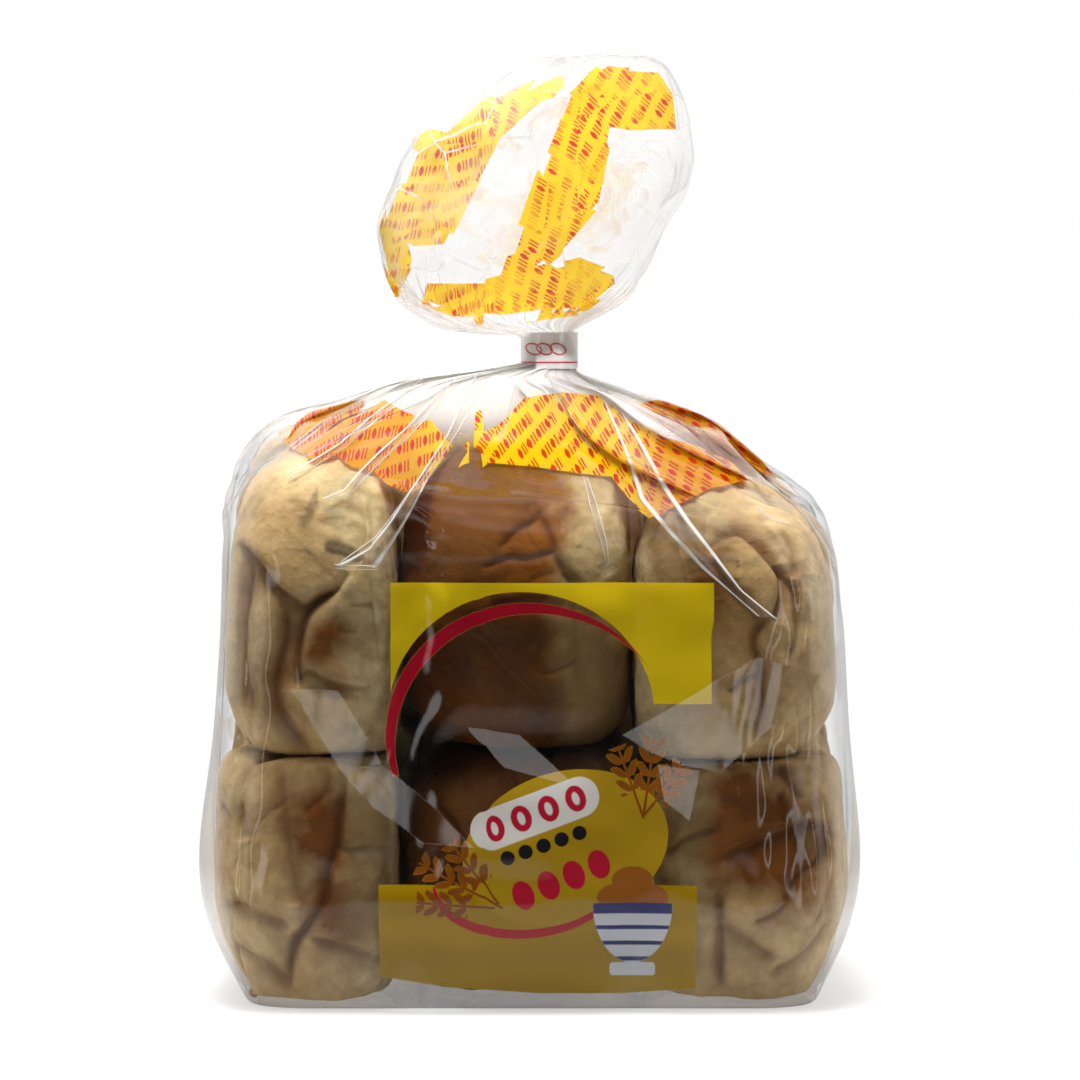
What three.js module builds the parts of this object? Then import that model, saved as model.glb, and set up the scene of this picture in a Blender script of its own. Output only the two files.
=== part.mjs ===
// A clear film bag of round buns, standing upright on a table. The buns fill it in two layers,
// the film is gathered above them into a neck, a strip of tape closes the neck, and the film's
// spare end puffs out above the tape.
// Millimetres, +Z up. The shopper looks along +Y. The origin is on the table, in the middle of
// the bag's footprint.

import * as THREE from "three";
import { ConvexHull } from "three/addons/math/ConvexHull.js";

// Driving dimensions
const BAG_HEIGHT = 234;
const NECK_X = 4;
const NECK_HALF = { x: 6.2, y: 4.8 };
const TAPE_BOTTOM = 155.8;
const TAPE_WIDTH = 9.2;
const TAPE_THICKNESS = 0.7;
const TAPE_GAP = 0.35; // between the gathered film and the tape
const NECK_REACH = 0.6; // the neck stands this far out of the tape at each end

// Each bun, from the left: its middle and its half-lengths. The shopper sees the front row.
const FRONT_ROW_Y = -31;
const BACK_ROW_Y = 32;
const BUNS = [
  { middle: [-57, FRONT_ROW_Y, 32], half: [24.5, 32, 33] },
  { middle: [-3, FRONT_ROW_Y, 31], half: [29.5, 32, 32] },
  { middle: [54.5, FRONT_ROW_Y, 31.5], half: [26, 32, 32.5] },
  { middle: [-55, FRONT_ROW_Y, 97], half: [22.5, 32, 39] },
  { middle: [-4, FRONT_ROW_Y + 4, 98], half: [28.5, 31, 35.5] },
  { middle: [51, FRONT_ROW_Y, 92], half: [26, 32, 34.5] },
  { middle: [-54, BACK_ROW_Y, 32], half: [26, 31, 33] },
  { middle: [0, BACK_ROW_Y, 37], half: [27, 31, 38] },
  { middle: [54, BACK_ROW_Y, 32], half: [26, 31, 33] },
  { middle: [-52, BACK_ROW_Y, 106], half: [28, 30, 39.5] },
  { middle: [4, BACK_ROW_Y, 115], half: [32, 29, 36.5] },
  { middle: [52, BACK_ROW_Y, 97.5], half: [28, 30, 32.5] },
];
const BUN_BLOCKINESS = 2.4; // 2 is an ellipsoid, and more is squarer

// The flat bottom, and the places where folds hold the film up above the buns
const FOOTPRINT = { halfWidth: 70, halfDepth: 57, corner: 13 };
const HELD_UP = [
  [-16, -5, 155],
  [-34, 0, 153.2],
  [-51, 4, 147.8],
  [24, 2, 150.5],
  [44, 10, 143.5],
];

// The film stands clear of the buns, most of all round the lower layer, where air is trapped.
const FILM_CLEARANCE = 1.0;
const TRAPPED_AIR = { height: 34, spread: 28, clearance: 2.4 };

// Dips over the gaps between the buns: their depths are for the front and back, and the sides
const SAG = { onFace: 5, onSide: 3, level: 0.7, width: 9, fade: 20 };
const COLUMN_GAPS_X = [-32, 25];
const ROW_GAP_Y = 1;
const LAYER_GAP_Z = 64;

// The spare film above the tape, as the shopper sees it: [height, left edge], [height, right edge],
// and half its depth from front to back.
const TAIL_LEFT = [
  [165.6, -2.2],
  [166.6, -22],
  [172.6, -34.4],
  [182, -37],
  [193.5, -38],
  [216, -27.8],
  [223, -13.5],
  [231.7, -1],
  [BAG_HEIGHT, 9],
];
const TAIL_RIGHT = [
  [165.6, 10.2],
  [167, 12.8],
  [176.4, 24.5],
  [201, 40.3],
  [204.4, 41.6],
  [217.7, 39.3],
  [231.7, 33.2],
  [BAG_HEIGHT, 30],
];
const TAIL_HALF_DEPTH = [
  [165.6, 4.8],
  [168, 10],
  [176, 17],
  [190, 22],
  [206, 21],
  [220, 15],
  [231.7, 6],
  [BAG_HEIGHT, 3],
];

// Pleats fan out of the neck, down over the shoulders and up into the tail.
const SHOULDER_PLEATS = { count: 14, from: 112, deepest: 0.1, sharpness: 1.6 };
const TAIL_PLEATS = { count: 9, deepest: 0.24, atTop: 0.12, sharpness: 1.2 };
const NECK_PLEAT_DEPTH = 0.12;

// Mesh density
const SECTORS = 88;
const BODY_STEP = 7;
const SHOULDER_STEP = 4;
const TAIL_STEP = 4;
const HULL_RINGS = 14;
const TAPE_STEPS = 72;

const { cos, sin, abs, exp, PI } = Math;
const { clamp, lerp, smoothstep } = THREE.MathUtils;
const NECK_BOTTOM = TAPE_BOTTOM - NECK_REACH;
const NECK_TOP = TAPE_BOTTOM + TAPE_WIDTH + NECK_REACH;

// Piecewise-linear reading of a profile of [height, value] points.
function readProfile(profile, height) {
  let i = 1;
  while (i < profile.length - 1 && profile[i][0] < height) i++;
  const [[z0, v0], [z1, v1]] = [profile[i - 1], profile[i]];
  return lerp(v0, v1, clamp((height - z0) / (z1 - z0), 0, 1));
}

// 1 on a ridge and 0 between ridges, with the ridges a little unevenly spaced.
function ridge(angle, { count, sharpness }) {
  const uneven = angle + 0.16 * sin(2 * angle + 0.7) + 0.07 * sin(5 * angle + 2);
  return ((1 + cos(count * uneven)) / 2) ** sharpness;
}

// A direction's point on a rounded block of unit half-lengths.
function onBlock(direction) {
  const power = BUN_BLOCKINESS;
  const size = direction.toArray().reduce((sum, v) => sum + abs(v) ** power, 0) ** (1 / power);
  return direction.divideScalar(size);
}

// The faces of the tightest skin over the footprint, all the buns and the bottom of the neck.
function skinFaces() {
  const points = HELD_UP.map((place) => new THREE.Vector3(...place));
  for (const { middle, half } of BUNS) {
    for (let ring = 0; ring <= HULL_RINGS; ring++) {
      const fall = (PI * ring) / HULL_RINGS;
      for (let turn = 0; turn < 2 * PI; turn += PI / HULL_RINGS) {
        const towards = new THREE.Vector3().setFromSphericalCoords(1, fall, turn);
        const point = onBlock(towards).multiply(new THREE.Vector3(half[0], half[2], half[1]));
        const height = Math.max(middle[2] + point.y, 0);
        points.push(new THREE.Vector3(middle[0] + point.x, middle[1] + point.z, height));
      }
    }
  }
  const { halfWidth, halfDepth, corner } = FOOTPRINT;
  for (let turn = 0; turn < 2 * PI; turn += PI / HULL_RINGS) {
    const [c, s] = [cos(turn), sin(turn)];
    const x = Math.sign(c) * (halfWidth - corner) + corner * c;
    points.push(new THREE.Vector3(x, Math.sign(s) * (halfDepth - corner) + corner * s, 0));
    points.push(new THREE.Vector3(NECK_X + NECK_HALF.x * c, NECK_HALF.y * s, NECK_BOTTOM));
  }
  return new ConvexHull().setFromPoints(points).faces;
}

// The line up the bag from which a level's radii are measured.
function axisAt(height) {
  return NECK_X * smoothstep(height, 70, 140);
}

// How far the skin is from the axis, in one direction at one height.
function skinRadius(faces, height, angle) {
  const from = new THREE.Vector3(axisAt(height), 0, height);
  const towards = new THREE.Vector3(cos(angle), sin(angle), 0);
  let nearest = Infinity;
  for (const face of faces) {
    const facing = face.normal.dot(towards);
    if (facing < 1e-6) continue;
    nearest = Math.min(nearest, (face.constant - face.normal.dot(from)) / facing);
  }
  return nearest;
}

// 1 over a gap between buns, and 0 well away from it.
function nearGap(place, gap) {
  return exp(-(((place - gap) / SAG.width) ** 2));
}

// How far the film dips between neighbouring buns, at a point of the skin.
function sagAt(x, y, height, angle) {
  const column = Math.max(...COLUMN_GAPS_X.map((gap) => nearGap(x, gap)));
  const row = nearGap(y, ROW_GAP_Y);
  const layer = SAG.level * nearGap(height, LAYER_GAP_Z);
  const fade = smoothstep(height, 0, SAG.fade) * (1 - smoothstep(height, 108, 134));
  const onFace = SAG.onFace * sin(angle) ** 2 * Math.max(column, layer);
  const onSide = SAG.onSide * cos(angle) ** 2 * Math.max(row, layer);
  return fade * (onFace + onSide);
}

// One level of the bag below the neck.
function bodyRing(faces, height) {
  const { from, deepest } = SHOULDER_PLEATS;
  const pleat = deepest * smoothstep(height, from, NECK_BOTTOM - 8);
  const air = exp(-(((height - TRAPPED_AIR.height) / TRAPPED_AIR.spread) ** 2));
  const clearance = FILM_CLEARANCE + TRAPPED_AIR.clearance * air * smoothstep(height, 0, 12);
  return (angle) => {
    const skin = skinRadius(faces, height, angle);
    const [x, y] = [axisAt(height) + skin * cos(angle), skin * sin(angle)];
    const loose = skin + clearance - sagAt(x, y, height, angle);
    const radius = loose * (1 - pleat * (1 - ridge(angle, SHOULDER_PLEATS)));
    return new THREE.Vector3(axisAt(height) + radius * cos(angle), radius * sin(angle), height);
  };
}

// One level of the gathered neck, inside the tape.
function neckRing(height) {
  return (angle) => {
    const tuck = 1 - NECK_PLEAT_DEPTH * (1 - ridge(angle, SHOULDER_PLEATS));
    const x = NECK_X + NECK_HALF.x * tuck * cos(angle);
    return new THREE.Vector3(x, NECK_HALF.y * tuck * sin(angle), height);
  };
}

// One level of the puffed-out tail.
function tailRing(height) {
  const left = readProfile(TAIL_LEFT, height);
  const right = readProfile(TAIL_RIGHT, height);
  const depth = readProfile(TAIL_HALF_DEPTH, height);
  const towardsTop = smoothstep(height, NECK_TOP, BAG_HEIGHT);
  const fold = lerp(TAIL_PLEATS.deepest, TAIL_PLEATS.atTop, towardsTop);
  return (angle) => {
    const sideways = abs(cos(angle)) ** 6; // the outline keeps the profile's width
    const tuck = 1 - fold * (1 - ridge(angle, TAIL_PLEATS)) * (1 - sideways);
    const x = (left + right) / 2 + ((right - left) / 2) * tuck * cos(angle);
    return new THREE.Vector3(x, depth * tuck * sin(angle), height);
  };
}

// Heights from one level to another, in even steps no longer than asked.
function levels(from, to, step) {
  const count = Math.ceil((to - from) / step);
  return Array.from({ length: count + 1 }, (_, i) => lerp(from, to, i / count));
}

// A closed mesh through rings of points, one above the other, with a fan at each end.
function closedMesh(rings) {
  const points = rings.flat();
  const bottom = points.length;
  const top = bottom + 1;
  for (const ring of [rings[0], rings.at(-1)]) {
    const middle = ring.reduce((sum, p) => sum.add(p), new THREE.Vector3());
    points.push(middle.divideScalar(SECTORS));
  }
  const index = [];
  const last = (rings.length - 1) * SECTORS;
  for (let i = 0; i < SECTORS; i++) {
    const next = (i + 1) % SECTORS;
    for (let row = 0; row < last; row += SECTORS) {
      const [a, b] = [row + i, row + next];
      const [c, d] = [a + SECTORS, b + SECTORS];
      index.push(a, b, d, a, d, c);
    }
    index.push(bottom, next, i, top, last + i, last + next);
  }
  return new THREE.BufferGeometry().setFromPoints(points).setIndex(index);
}

function makeBag() {
  const faces = skinFaces();
  const shoulder = SHOULDER_PLEATS.from;
  const body = levels(0, shoulder, BODY_STEP);
  const shoulders = levels(shoulder, NECK_BOTTOM - 1, SHOULDER_STEP).slice(1);
  const neck = levels(NECK_BOTTOM, NECK_TOP, TAPE_WIDTH);
  const tail = levels(NECK_TOP + 1, BAG_HEIGHT, TAIL_STEP);
  const shapes = [
    ...[...body, ...shoulders].map((height) => bodyRing(faces, height)),
    ...neck.map(neckRing),
    ...tail.map(tailRing),
  ];
  const angles = Array.from({ length: SECTORS }, (_, i) => (2 * PI * i) / SECTORS);
  const geometry = closedMesh(shapes.map((shape) => angles.map(shape)));
  const material = new THREE.MeshStandardMaterial({
    color: 0xcfa873,
    roughness: 0.35,
    metalness: 0,
  });
  return named("bag", geometry, material);
}

// The tape is one turn round the neck, with its two ends stuck over each other at the back.
function makeTape() {
  const overlap = { from: 0.36 * PI, to: 0.66 * PI };
  const inner = { x: NECK_HALF.x + TAPE_GAP, y: NECK_HALF.y + TAPE_GAP };
  const outline = new THREE.Shape();
  for (let i = 0; i < TAPE_STEPS; i++) {
    const angle = (2 * PI * i) / TAPE_STEPS;
    const doubled = angle > overlap.from && angle < overlap.to;
    const wall = TAPE_THICKNESS * (doubled ? 2 : 1);
    const [x, y] = [(inner.x + wall) * cos(angle), (inner.y + wall) * sin(angle)];
    if (i === 0) outline.moveTo(x, y);
    else outline.lineTo(x, y);
  }
  outline.closePath();
  outline.holes.push(new THREE.Path().absellipse(0, 0, inner.x, inner.y, 0, 2 * PI, true));
  const geometry = new THREE.ExtrudeGeometry(outline, {
    depth: TAPE_WIDTH,
    bevelEnabled: false,
    curveSegments: TAPE_STEPS / 2,
  });
  const material = new THREE.MeshStandardMaterial({
    color: 0xf0dcd8,
    roughness: 0.4,
    metalness: 0,
  });
  const tape = named("closure_tape", geometry, material);
  tape.position.set(NECK_X, 0, TAPE_BOTTOM);
  return tape;
}

function named(name, geometry, material) {
  const mesh = new THREE.Mesh(geometry, material);
  mesh.name = name;
  return mesh;
}

// Moves the whole so that the middle of its footprint box is at the origin.
function centred(group) {
  const middle = new THREE.Box3().setFromObject(group).getCenter(new THREE.Vector3());
  group.position.set(-middle.x, -middle.y, 0);
  return group;
}

const bagOfBuns = new THREE.Group();
bagOfBuns.add(makeBag(), makeTape());

export default centred(bagOfBuns);
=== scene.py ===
"""A clear film bag of round buns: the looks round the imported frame.

The film is laid over the buns as a taut skin with tucks running down from the neck, and then
relaxed as a thin sheet that hardly stretches. Lengths are in millimetres until a mesh is made.
"""

import functools
import math

import bmesh
import bpy
import numpy as np
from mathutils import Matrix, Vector
from mathutils.bvhtree import BVHTree


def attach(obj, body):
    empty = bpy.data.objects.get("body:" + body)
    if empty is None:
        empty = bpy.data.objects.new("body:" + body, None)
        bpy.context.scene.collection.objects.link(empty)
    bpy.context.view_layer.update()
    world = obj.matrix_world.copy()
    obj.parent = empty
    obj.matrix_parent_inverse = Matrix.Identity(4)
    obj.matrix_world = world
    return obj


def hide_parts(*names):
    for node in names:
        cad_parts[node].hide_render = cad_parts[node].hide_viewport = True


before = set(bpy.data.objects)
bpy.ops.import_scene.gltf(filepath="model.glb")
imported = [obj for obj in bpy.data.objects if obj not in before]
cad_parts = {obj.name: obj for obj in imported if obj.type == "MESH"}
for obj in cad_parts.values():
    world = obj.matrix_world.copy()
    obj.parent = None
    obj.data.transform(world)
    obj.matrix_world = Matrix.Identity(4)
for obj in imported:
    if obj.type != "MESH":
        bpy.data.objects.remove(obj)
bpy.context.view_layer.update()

MM = 0.001

# ---------------------------------------------------------------- camera

AIM = Vector((0.00204, 0.0, 0.1121))
EYE = Vector((0.00204, -1.2, 0.17))
FRAME_WIDTH = 0.2754  # what the picture's width spans at the aim


def make_camera():
    data = bpy.data.cameras.new("camera")
    data.sensor_width = 36.0
    data.lens = 36.0 * (EYE - AIM).length / FRAME_WIDTH
    data.clip_end = 30.0
    camera = bpy.data.objects.new("camera", data)
    camera.location = EYE
    camera.rotation_euler = (AIM - EYE).to_track_quat("-Z", "Y").to_euler()
    bpy.context.collection.objects.link(camera)
    bpy.context.scene.camera = camera


# ---------------------------------------------------------------- noise


def hashed(ix, iy, iz, seed):
    """A repeatable pseudo-random number from 0 to 1 for each lattice point."""
    n = (ix * 374761393 + iy * 668265263 + iz * 2147483647 + seed * 1274126177) & 0xFFFFFFFF
    n = ((n ^ (n >> 13)) * 1103515245) & 0xFFFFFFFF
    n = ((n ^ (n >> 16)) * 2246822519) & 0xFFFFFFFF
    return ((n ^ (n >> 15)) & 0xFFFFFF) / float(0x1000000)


def value_noise(p, size, seed):
    """Smooth noise from -1 to 1 whose lumps are about `size` across."""
    q = np.asarray(p, float) / size
    cell = np.floor(q).astype(np.int64)
    f = q - cell
    f = f * f * (3 - 2 * f)
    total = 0.0
    for corner in range(8):
        o = np.array([corner & 1, corner >> 1 & 1, corner >> 2 & 1])
        w = np.prod(np.where(o == 1, f, 1 - f), axis=-1)
        c = cell + o
        total = total + w * hashed(c[..., 0], c[..., 1], c[..., 2], seed)
    return 2 * total - 1


def layered_noise(p, size, seed, octaves=3):
    total, weight = 0.0, 0.0
    for k in range(octaves):
        total = total + value_noise(p, size / 2**k, seed + 17 * k) / 2**k
        weight += 1 / 2**k
    return total / weight


def smoothstep(x, a, b):
    t = np.clip((np.asarray(x, float) - a) / (b - a), 0, 1)
    return t * t * (3 - 2 * t)


# ---------------------------------------------------------------- buns

FRONT_Y, BACK_Y = -31.0, 32.0
# middle, half lengths, the side its crown faces, lean (degrees, top towards +x), tone (the crust's darkness,
# with painted light and shade in some), seed
BUNS = {
    "bun_front_lower_left": ((-57, FRONT_Y, 32), (24.5, 32, 33), -1, 2, 0.33, 11),
    # the lower middle's high tone is painted shadow: it lies in the upper middle's shadow
    "bun_front_lower_middle": ((-3, FRONT_Y + 5, 31), (29.5, 32, 32), -1, 0, 1.75, 12),
    "bun_front_lower_right": ((54.5, FRONT_Y, 31.5), (26, 32, 32.5), 1, 4, 0.41, 13),
    "bun_front_upper_left": ((-55, FRONT_Y, 97), (22.5, 32, 39), -1, -4, 0.3, 14),
    # the upper middle's high tone is partly its own dark crust and partly painted shade under the band
    "bun_front_upper_middle": ((-4, FRONT_Y + 4, 98), (28.5, 31, 35.5), -1, 0, 1.4, 15),
    "bun_front_upper_right": ((51, FRONT_Y, 92), (26, 32, 34.5), 1, 10, 0.35, 16),
    "bun_back_lower_left": ((-54, BACK_Y, 32), (26, 31, 33), -1, 0, 0.45, 17),
    "bun_back_lower_middle": ((0, BACK_Y, 37), (30, 31, 38), 1, 0, 0.8, 18),
    "bun_back_lower_right": ((54, BACK_Y, 32), (26, 31, 33), 1, 0, 0.45, 19),
    "bun_back_upper_left": ((-52, BACK_Y, 106), (28, 30, 39.5), -1, -4, 0.4, 20),
    # the back upper middle's low tone is a painted highlight: its pale top stands in for strong light from
    # above
    "bun_back_upper_middle": ((2, BACK_Y, 115), (34, 29, 36.5), 1, 0, 0.05, 21),
    "bun_back_upper_right": ((52, BACK_Y, 97.5), (28, 30, 32.5), 1, 6, 0.5, 22),
}
BLOCK_POWER, CROWN_POWER, SIDE_POWER = 2.4, 2.1, 2.7  # how square the blocks are
# How much larger a bun in front, or behind, is than its place, before the others press on it
OVERSIZE, OVERSIZE_BEHIND = 1.13, 1.32
BUN_GAP, FLOOR_GAP, UNDER_FILM = 0.4, 0.7, 2.2
HIGHEST_MARK, LOWEST_CRUST = 1.4, 0.6
FRONT_GRID, BACK_GRID = (102, 42, 126), (44, 36, 44)  # how finely a bun is cut along x, y and z
NETTED = "bun_front_lower_right"  # its crust has a patch of fine crossing creases
NET_MIDDLE, NET_REACH = [47, -60, 51], [15, 30, 14]

# Darker patches of the crusts, partly their own browning and partly painted shade where the bag's front lies
# in shade; negative ones lighten: middle in (x, z), radius, and how much darker
BROWNED_AND_SHADED = {
    "bun_front_lower_left": [((-53, 46), 15, 0.6), ((-42, 24), 13, 0.8), ((-35, 48), 13, 0.6)],
    "bun_front_lower_right": [((50, 50), 17, 0.65), ((62, 34), 13, 0.55), ((36, 40), 12, 0.6)],
    "bun_front_upper_left": [((-46, 90), 10, 0.8), ((-62, 84), 8, 0.3), ((-56, 114), 12, 0.12)],
    "bun_front_upper_middle": [((20, 118), 16, -0.8), ((20, 96), 13, -0.3)],
    "bun_front_upper_right": [
        ((57, 104), 10, 0.2), ((60, 80), 9, 0.35), ((34, 114), 13, 1.0), ((33, 94), 12, 0.6),
    ],
}

# Folds in the crusts that the shopper sees: a path across the front of the bag in (x, z), the
# fold's depth, its width, and how far the crust on the left of its way stands over the right.
FOLDS = {
    "bun_front_upper_left": [
        ([(-75, 115), (-66, 109), (-60.5, 102.5), (-55, 98.5), (-51, 101), (-46, 103.5)], 2.4, 1.3, 2.2),
        (
            [(-55.5, 79), (-57, 85), (-56.5, 91), (-55, 97), (-51, 101), (-46, 103.5), (-44, 107)],
            2.2, 1.2, -1.6,
        ),
        ([(-57, 80), (-54.5, 83.5), (-50, 81.5), (-46, 79.5), (-39, 80)], 1.6, 1.0, 1.2),
        ([(-69, 110), (-71.5, 96), (-71, 84), (-68, 72)], 2.2, 3.0, 0.5),
        ([(-60, 101), (-60.5, 90), (-63.5, 77), (-60, 68), (-53, 62)], 2.0, 2.4, -0.8),
        ([(-41, 129), (-39.8, 117), (-38.5, 100), (-35.5, 84)], 1.8, 1.3, 0.9),
        ([(-50, 113.4), (-45.5, 112.8), (-41, 110.5)], 1.3, 0.9, 0.8),
        ([(-44, 99), (-38, 99.2)], 1.0, 0.7, 0.4),
        ([(-77, 118.5), (-71.5, 118), (-70, 125), (-64, 131)], 1.5, 1.3, 0.8),
        ([(-47, 93), (-42, 92)], 0.6, 0.7, 0.2),
    ],
    "bun_front_upper_middle": [
        ([(-26, 131), (-27, 116), (-31, 104)], 1.4, 2.2, 0.6),
        ([(-9, 113), (-4, 117), (1, 119.5), (4, 124)], 0.9, 0.8, 0.5),
        ([(-12, 108), (-6, 111.5), (-1, 110), (6, 112.5)], 0.9, 0.7, 0.4),
        ([(-15, 92), (-10, 89), (-7.5, 84), (1, 77.5), (4, 72)], 1.7, 1.2, 1.2),
        ([(1, 124), (5, 117), (5.5, 109), (11.5, 104), (12, 94), (11.5, 78)], 1.5, 1.0, 1.0),
        ([(12, 87), (7.5, 83.5), (1, 82)], 0.9, 0.8, 0.4),
        ([(-10, 98), (0, 101), (9, 99)], 0.9, 2.2, 0.4),
    ],
    "bun_front_upper_right": [
        (
            [(44.5, 111), (46, 115.5), (50.5, 117.3), (55, 113.5), (58, 109), (61, 105.5), (61, 101),
             (58, 96)],
            2.6, 1.6, -1.8,
        ),
        ([(44, 112), (46, 106), (50.5, 102), (54.5, 98), (58, 96.5)], 1.3, 1.0, 1.2),
        ([(43.5, 123), (42.3, 116), (44.5, 111.5)], 1.2, 0.9, 0.5),
        ([(57, 97), (54.3, 89), (56, 83), (57, 74), (55, 66)], 1.7, 1.2, 0.9),
        ([(59, 109), (64.5, 103.5), (65.5, 97), (63, 85)], 1.3, 1.2, 0.6),
        ([(62, 118), (64.5, 111), (65, 105)], 1.0, 1.1, 0.4),
        ([(35, 124), (37, 108), (40, 92), (38, 76)], 1.4, 1.4, -0.9),
        ([(47, 78), (52, 82), (56, 83)], 1.0, 0.9, 0.4),
    ],
    "bun_front_lower_left": [
        (
            [(-43.5, 60), (-46, 50), (-47.5, 38), (-50.5, 28.5), (-53.5, 20.5), (-57.5, 16.5), (-59.5, 10),
             (-59.5, 3)],
            3.0, 1.4, 1.0,
        ),
        ([(-54, 18), (-46, 16.5), (-36, 12.5)], 1.6, 1.2, 0.9),
        ([(-47.5, 39.5), (-40, 41), (-31, 41)], 1.2, 1.0, 0.6),
        ([(-61, 61), (-60, 45), (-55.5, 26)], 1.3, 2.6, 0.5),
        ([(-76, 26.5), (-67, 24.5), (-58, 21)], 1.4, 1.8, 0.7),
        ([(-74, 15.5), (-66, 11.5), (-59, 6.5)], 1.3, 1.8, 0.7),
        ([(-71, 51), (-68.5, 42)], 1.1, 1.8, 0.3),
        ([(-50, 60.5), (-49, 54), (-56, 47)], 1.0, 1.4, 0.5),
    ],
    "bun_front_lower_right": [
        ([(46, 38), (54, 41), (61, 44.3), (67, 46), (71, 45), (75, 41)], 2.0, 1.3, 1.2),
        ([(71.5, 44), (71, 36.5), (65.5, 33.5), (63.2, 28.5), (62.5, 24)], 1.7, 1.2, 0.8),
        ([(59, 61), (62, 57), (66, 51.5)], 1.3, 1.0, 0.6),
        ([(61, 54), (61.8, 46)], 1.3, 1.2, 0.5),
        ([(54, 21.5), (62.5, 25.5)], 1.3, 1.0, 0.5),
        ([(45.5, 29), (46.3, 16), (46, 5)], 1.7, 1.3, 0.9),
        ([(46, 22), (52, 17.5), (60, 12)], 1.5, 1.8, 0.7),
        ([(30, 38), (37, 43), (46, 45.5)], 1.4, 1.2, 0.6),
        ([(58, 8), (68, 13), (73, 22)], 1.2, 1.5, 0.5),
    ],
    "bun_front_lower_middle": [
        ([(-26, 52), (-18, 44), (-16, 30)], 1.4, 1.3, 0.7),
        ([(-6, 58), (2, 46), (14, 42)], 1.4, 1.4, 0.7),
    ],
}


# The faces of a block: first and second axis along the face, axis out of it, and which way
BLOCK_FACES = ((1, 2, 0, 1), (2, 1, 0, -1), (2, 0, 1, 1), (0, 2, 1, -1), (0, 1, 2, 1), (1, 0, 2, -1))


def block_grid(counts):
    """Unit directions of a grid on the faces of a cube, cut unlike along x, y and z, and quads."""
    cuts = [np.tan(np.linspace(-math.pi / 4, math.pi / 4, n + 1)) for n in counts]
    points, quads, first = [], [], 0
    for u, v, out, sign in BLOCK_FACES:
        side = np.empty((counts[u] + 1, counts[v] + 1, 3))
        side[..., u], side[..., v] = np.meshgrid(cuts[u], cuts[v], indexing="ij")
        side[..., out] = sign
        points.append(side.reshape(-1, 3))
        index = first + np.arange(len(points[-1])).reshape(side.shape[:2])
        corners = [index[:-1, :-1], index[1:, :-1], index[1:, 1:], index[:-1, 1:]]
        quads.append(np.stack(corners, -1).reshape(-1, 4))
        first += len(points[-1])
    points = np.concatenate(points)
    _, kept, inverse = np.unique(np.round(points, 6), axis=0, return_index=True, return_inverse=True)
    points = points[kept]
    quads = inverse.reshape(-1)[np.concatenate(quads)]
    return points / np.linalg.norm(points, axis=1, keepdims=True), quads


def unit(v):
    return v / np.maximum(np.linalg.norm(v, axis=-1, keepdims=True), 1e-9)


def spread(per_quad, quads, count):
    """Each point's sum over the quads that it belongs to."""
    total = np.zeros((count, 3))
    for corner in quads.T:
        np.add.at(total, corner, per_quad)
    return total


def evened(p, quads, passes):
    """The same closed mesh with each point moved towards the middle of its quads."""
    share = spread(np.ones((len(quads), 3)), quads, len(p))
    for _ in range(passes):
        p = 0.5 * p + 0.5 * spread(p[quads].mean(1), quads, len(p)) / share
    return p


def soft_normals(p, quads, passes):
    """Normals of a closed mesh, averaged with their neighbours a few times."""
    flat = np.cross(p[quads[:, 2]] - p[quads[:, 0]], p[quads[:, 3]] - p[quads[:, 1]])
    normal = unit(spread(flat, quads, len(p)))
    for _ in range(passes):
        normal = unit(spread(normal[quads].mean(1), quads, len(p)))
    return normal


def superellipsoid(d, power):
    return d / (np.abs(d) ** power).sum(1, keepdims=True) ** (1 / power)


def soft_limit(s, limit, width):
    """s where it is well under the limit, and never over it."""
    x = (limit - s) / width
    return limit - width * np.logaddexp(0, x * 3) / 3


def rounded(path):
    """A path with its corners cut twice."""
    p = np.array(path, float)
    for _ in range(2):
        cut = np.stack([0.75 * p[:-1] + 0.25 * p[1:], 0.25 * p[:-1] + 0.75 * p[1:]], 1)
        p = np.concatenate([p[:1], cut.reshape(-1, 2), p[-1:]])
    return p


def path_distance(points, path):
    """How far points are from a path, on its left (+) or right (-), and the share along it."""
    p = rounded(path)
    start, way = p[:-1], np.diff(p, axis=0)
    length = np.linalg.norm(way, axis=1)
    gap = points[:, None, :] - start
    t = np.clip((gap * way).sum(-1) / length**2, 0, 1)
    off = gap - t[..., None] * way
    far = np.linalg.norm(off, axis=-1)
    nearest = far.argmin(1)
    each = np.arange(len(points))
    side = way[nearest, 0] * gap[each, nearest, 1] - way[nearest, 1] * gap[each, nearest, 0]
    along = np.concatenate([[0], np.cumsum(length)])
    share = (along[nearest] + t[each, nearest] * length[nearest]) / along[-1]
    return far[each, nearest] * np.where(side >= 0, 1, -1), share


def fold_relief(p, folds):
    """How far the folds move each point out, and how deep in a fold it lies (0 to 1)."""
    move, deep = np.zeros(len(p)), np.zeros(len(p))
    flat = p[:, [0, 2]] + 0.9 * np.stack([value_noise(p, 7, 301), value_noise(p, 7, 302)], -1)
    for path, depth, width, over in folds:
        side, share = path_distance(flat, path)
        taper = np.clip(4 * share * (1 - share) * 2.2, 0, 1) ** 0.7
        far = np.abs(side)
        line = np.exp(-((far / width) ** 1.3)) * taper
        step = np.tanh(side / 0.9) * np.exp(-far / 6.0) * taper
        move += over * step - depth * line
        deep = np.maximum(deep, line * min(1.0, depth / 2.0))
    return move, deep


def wrinkles(p, size, width, seed):
    """Meandering creases: 1 on the lines where a smooth noise changes sign."""
    lines = np.abs(layered_noise(p, size, seed, 2))
    patch = smoothstep(value_noise(p + 57, 1.1 * size, seed + 9), -0.35, 0.35)
    return np.exp(-lines / width) * patch


# Patches of darker crust: partly browning, partly painted shade
def browned_and_shaded(p, patches):
    flat = p[:, [0, 2]] + 4 * np.stack([value_noise(p, 9, 311), value_noise(p, 9, 312)], -1)
    return sum(
        amount * np.exp(-(((flat - middle) / radius) ** 2).sum(1)) for middle, radius, amount in patches
    )


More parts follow.
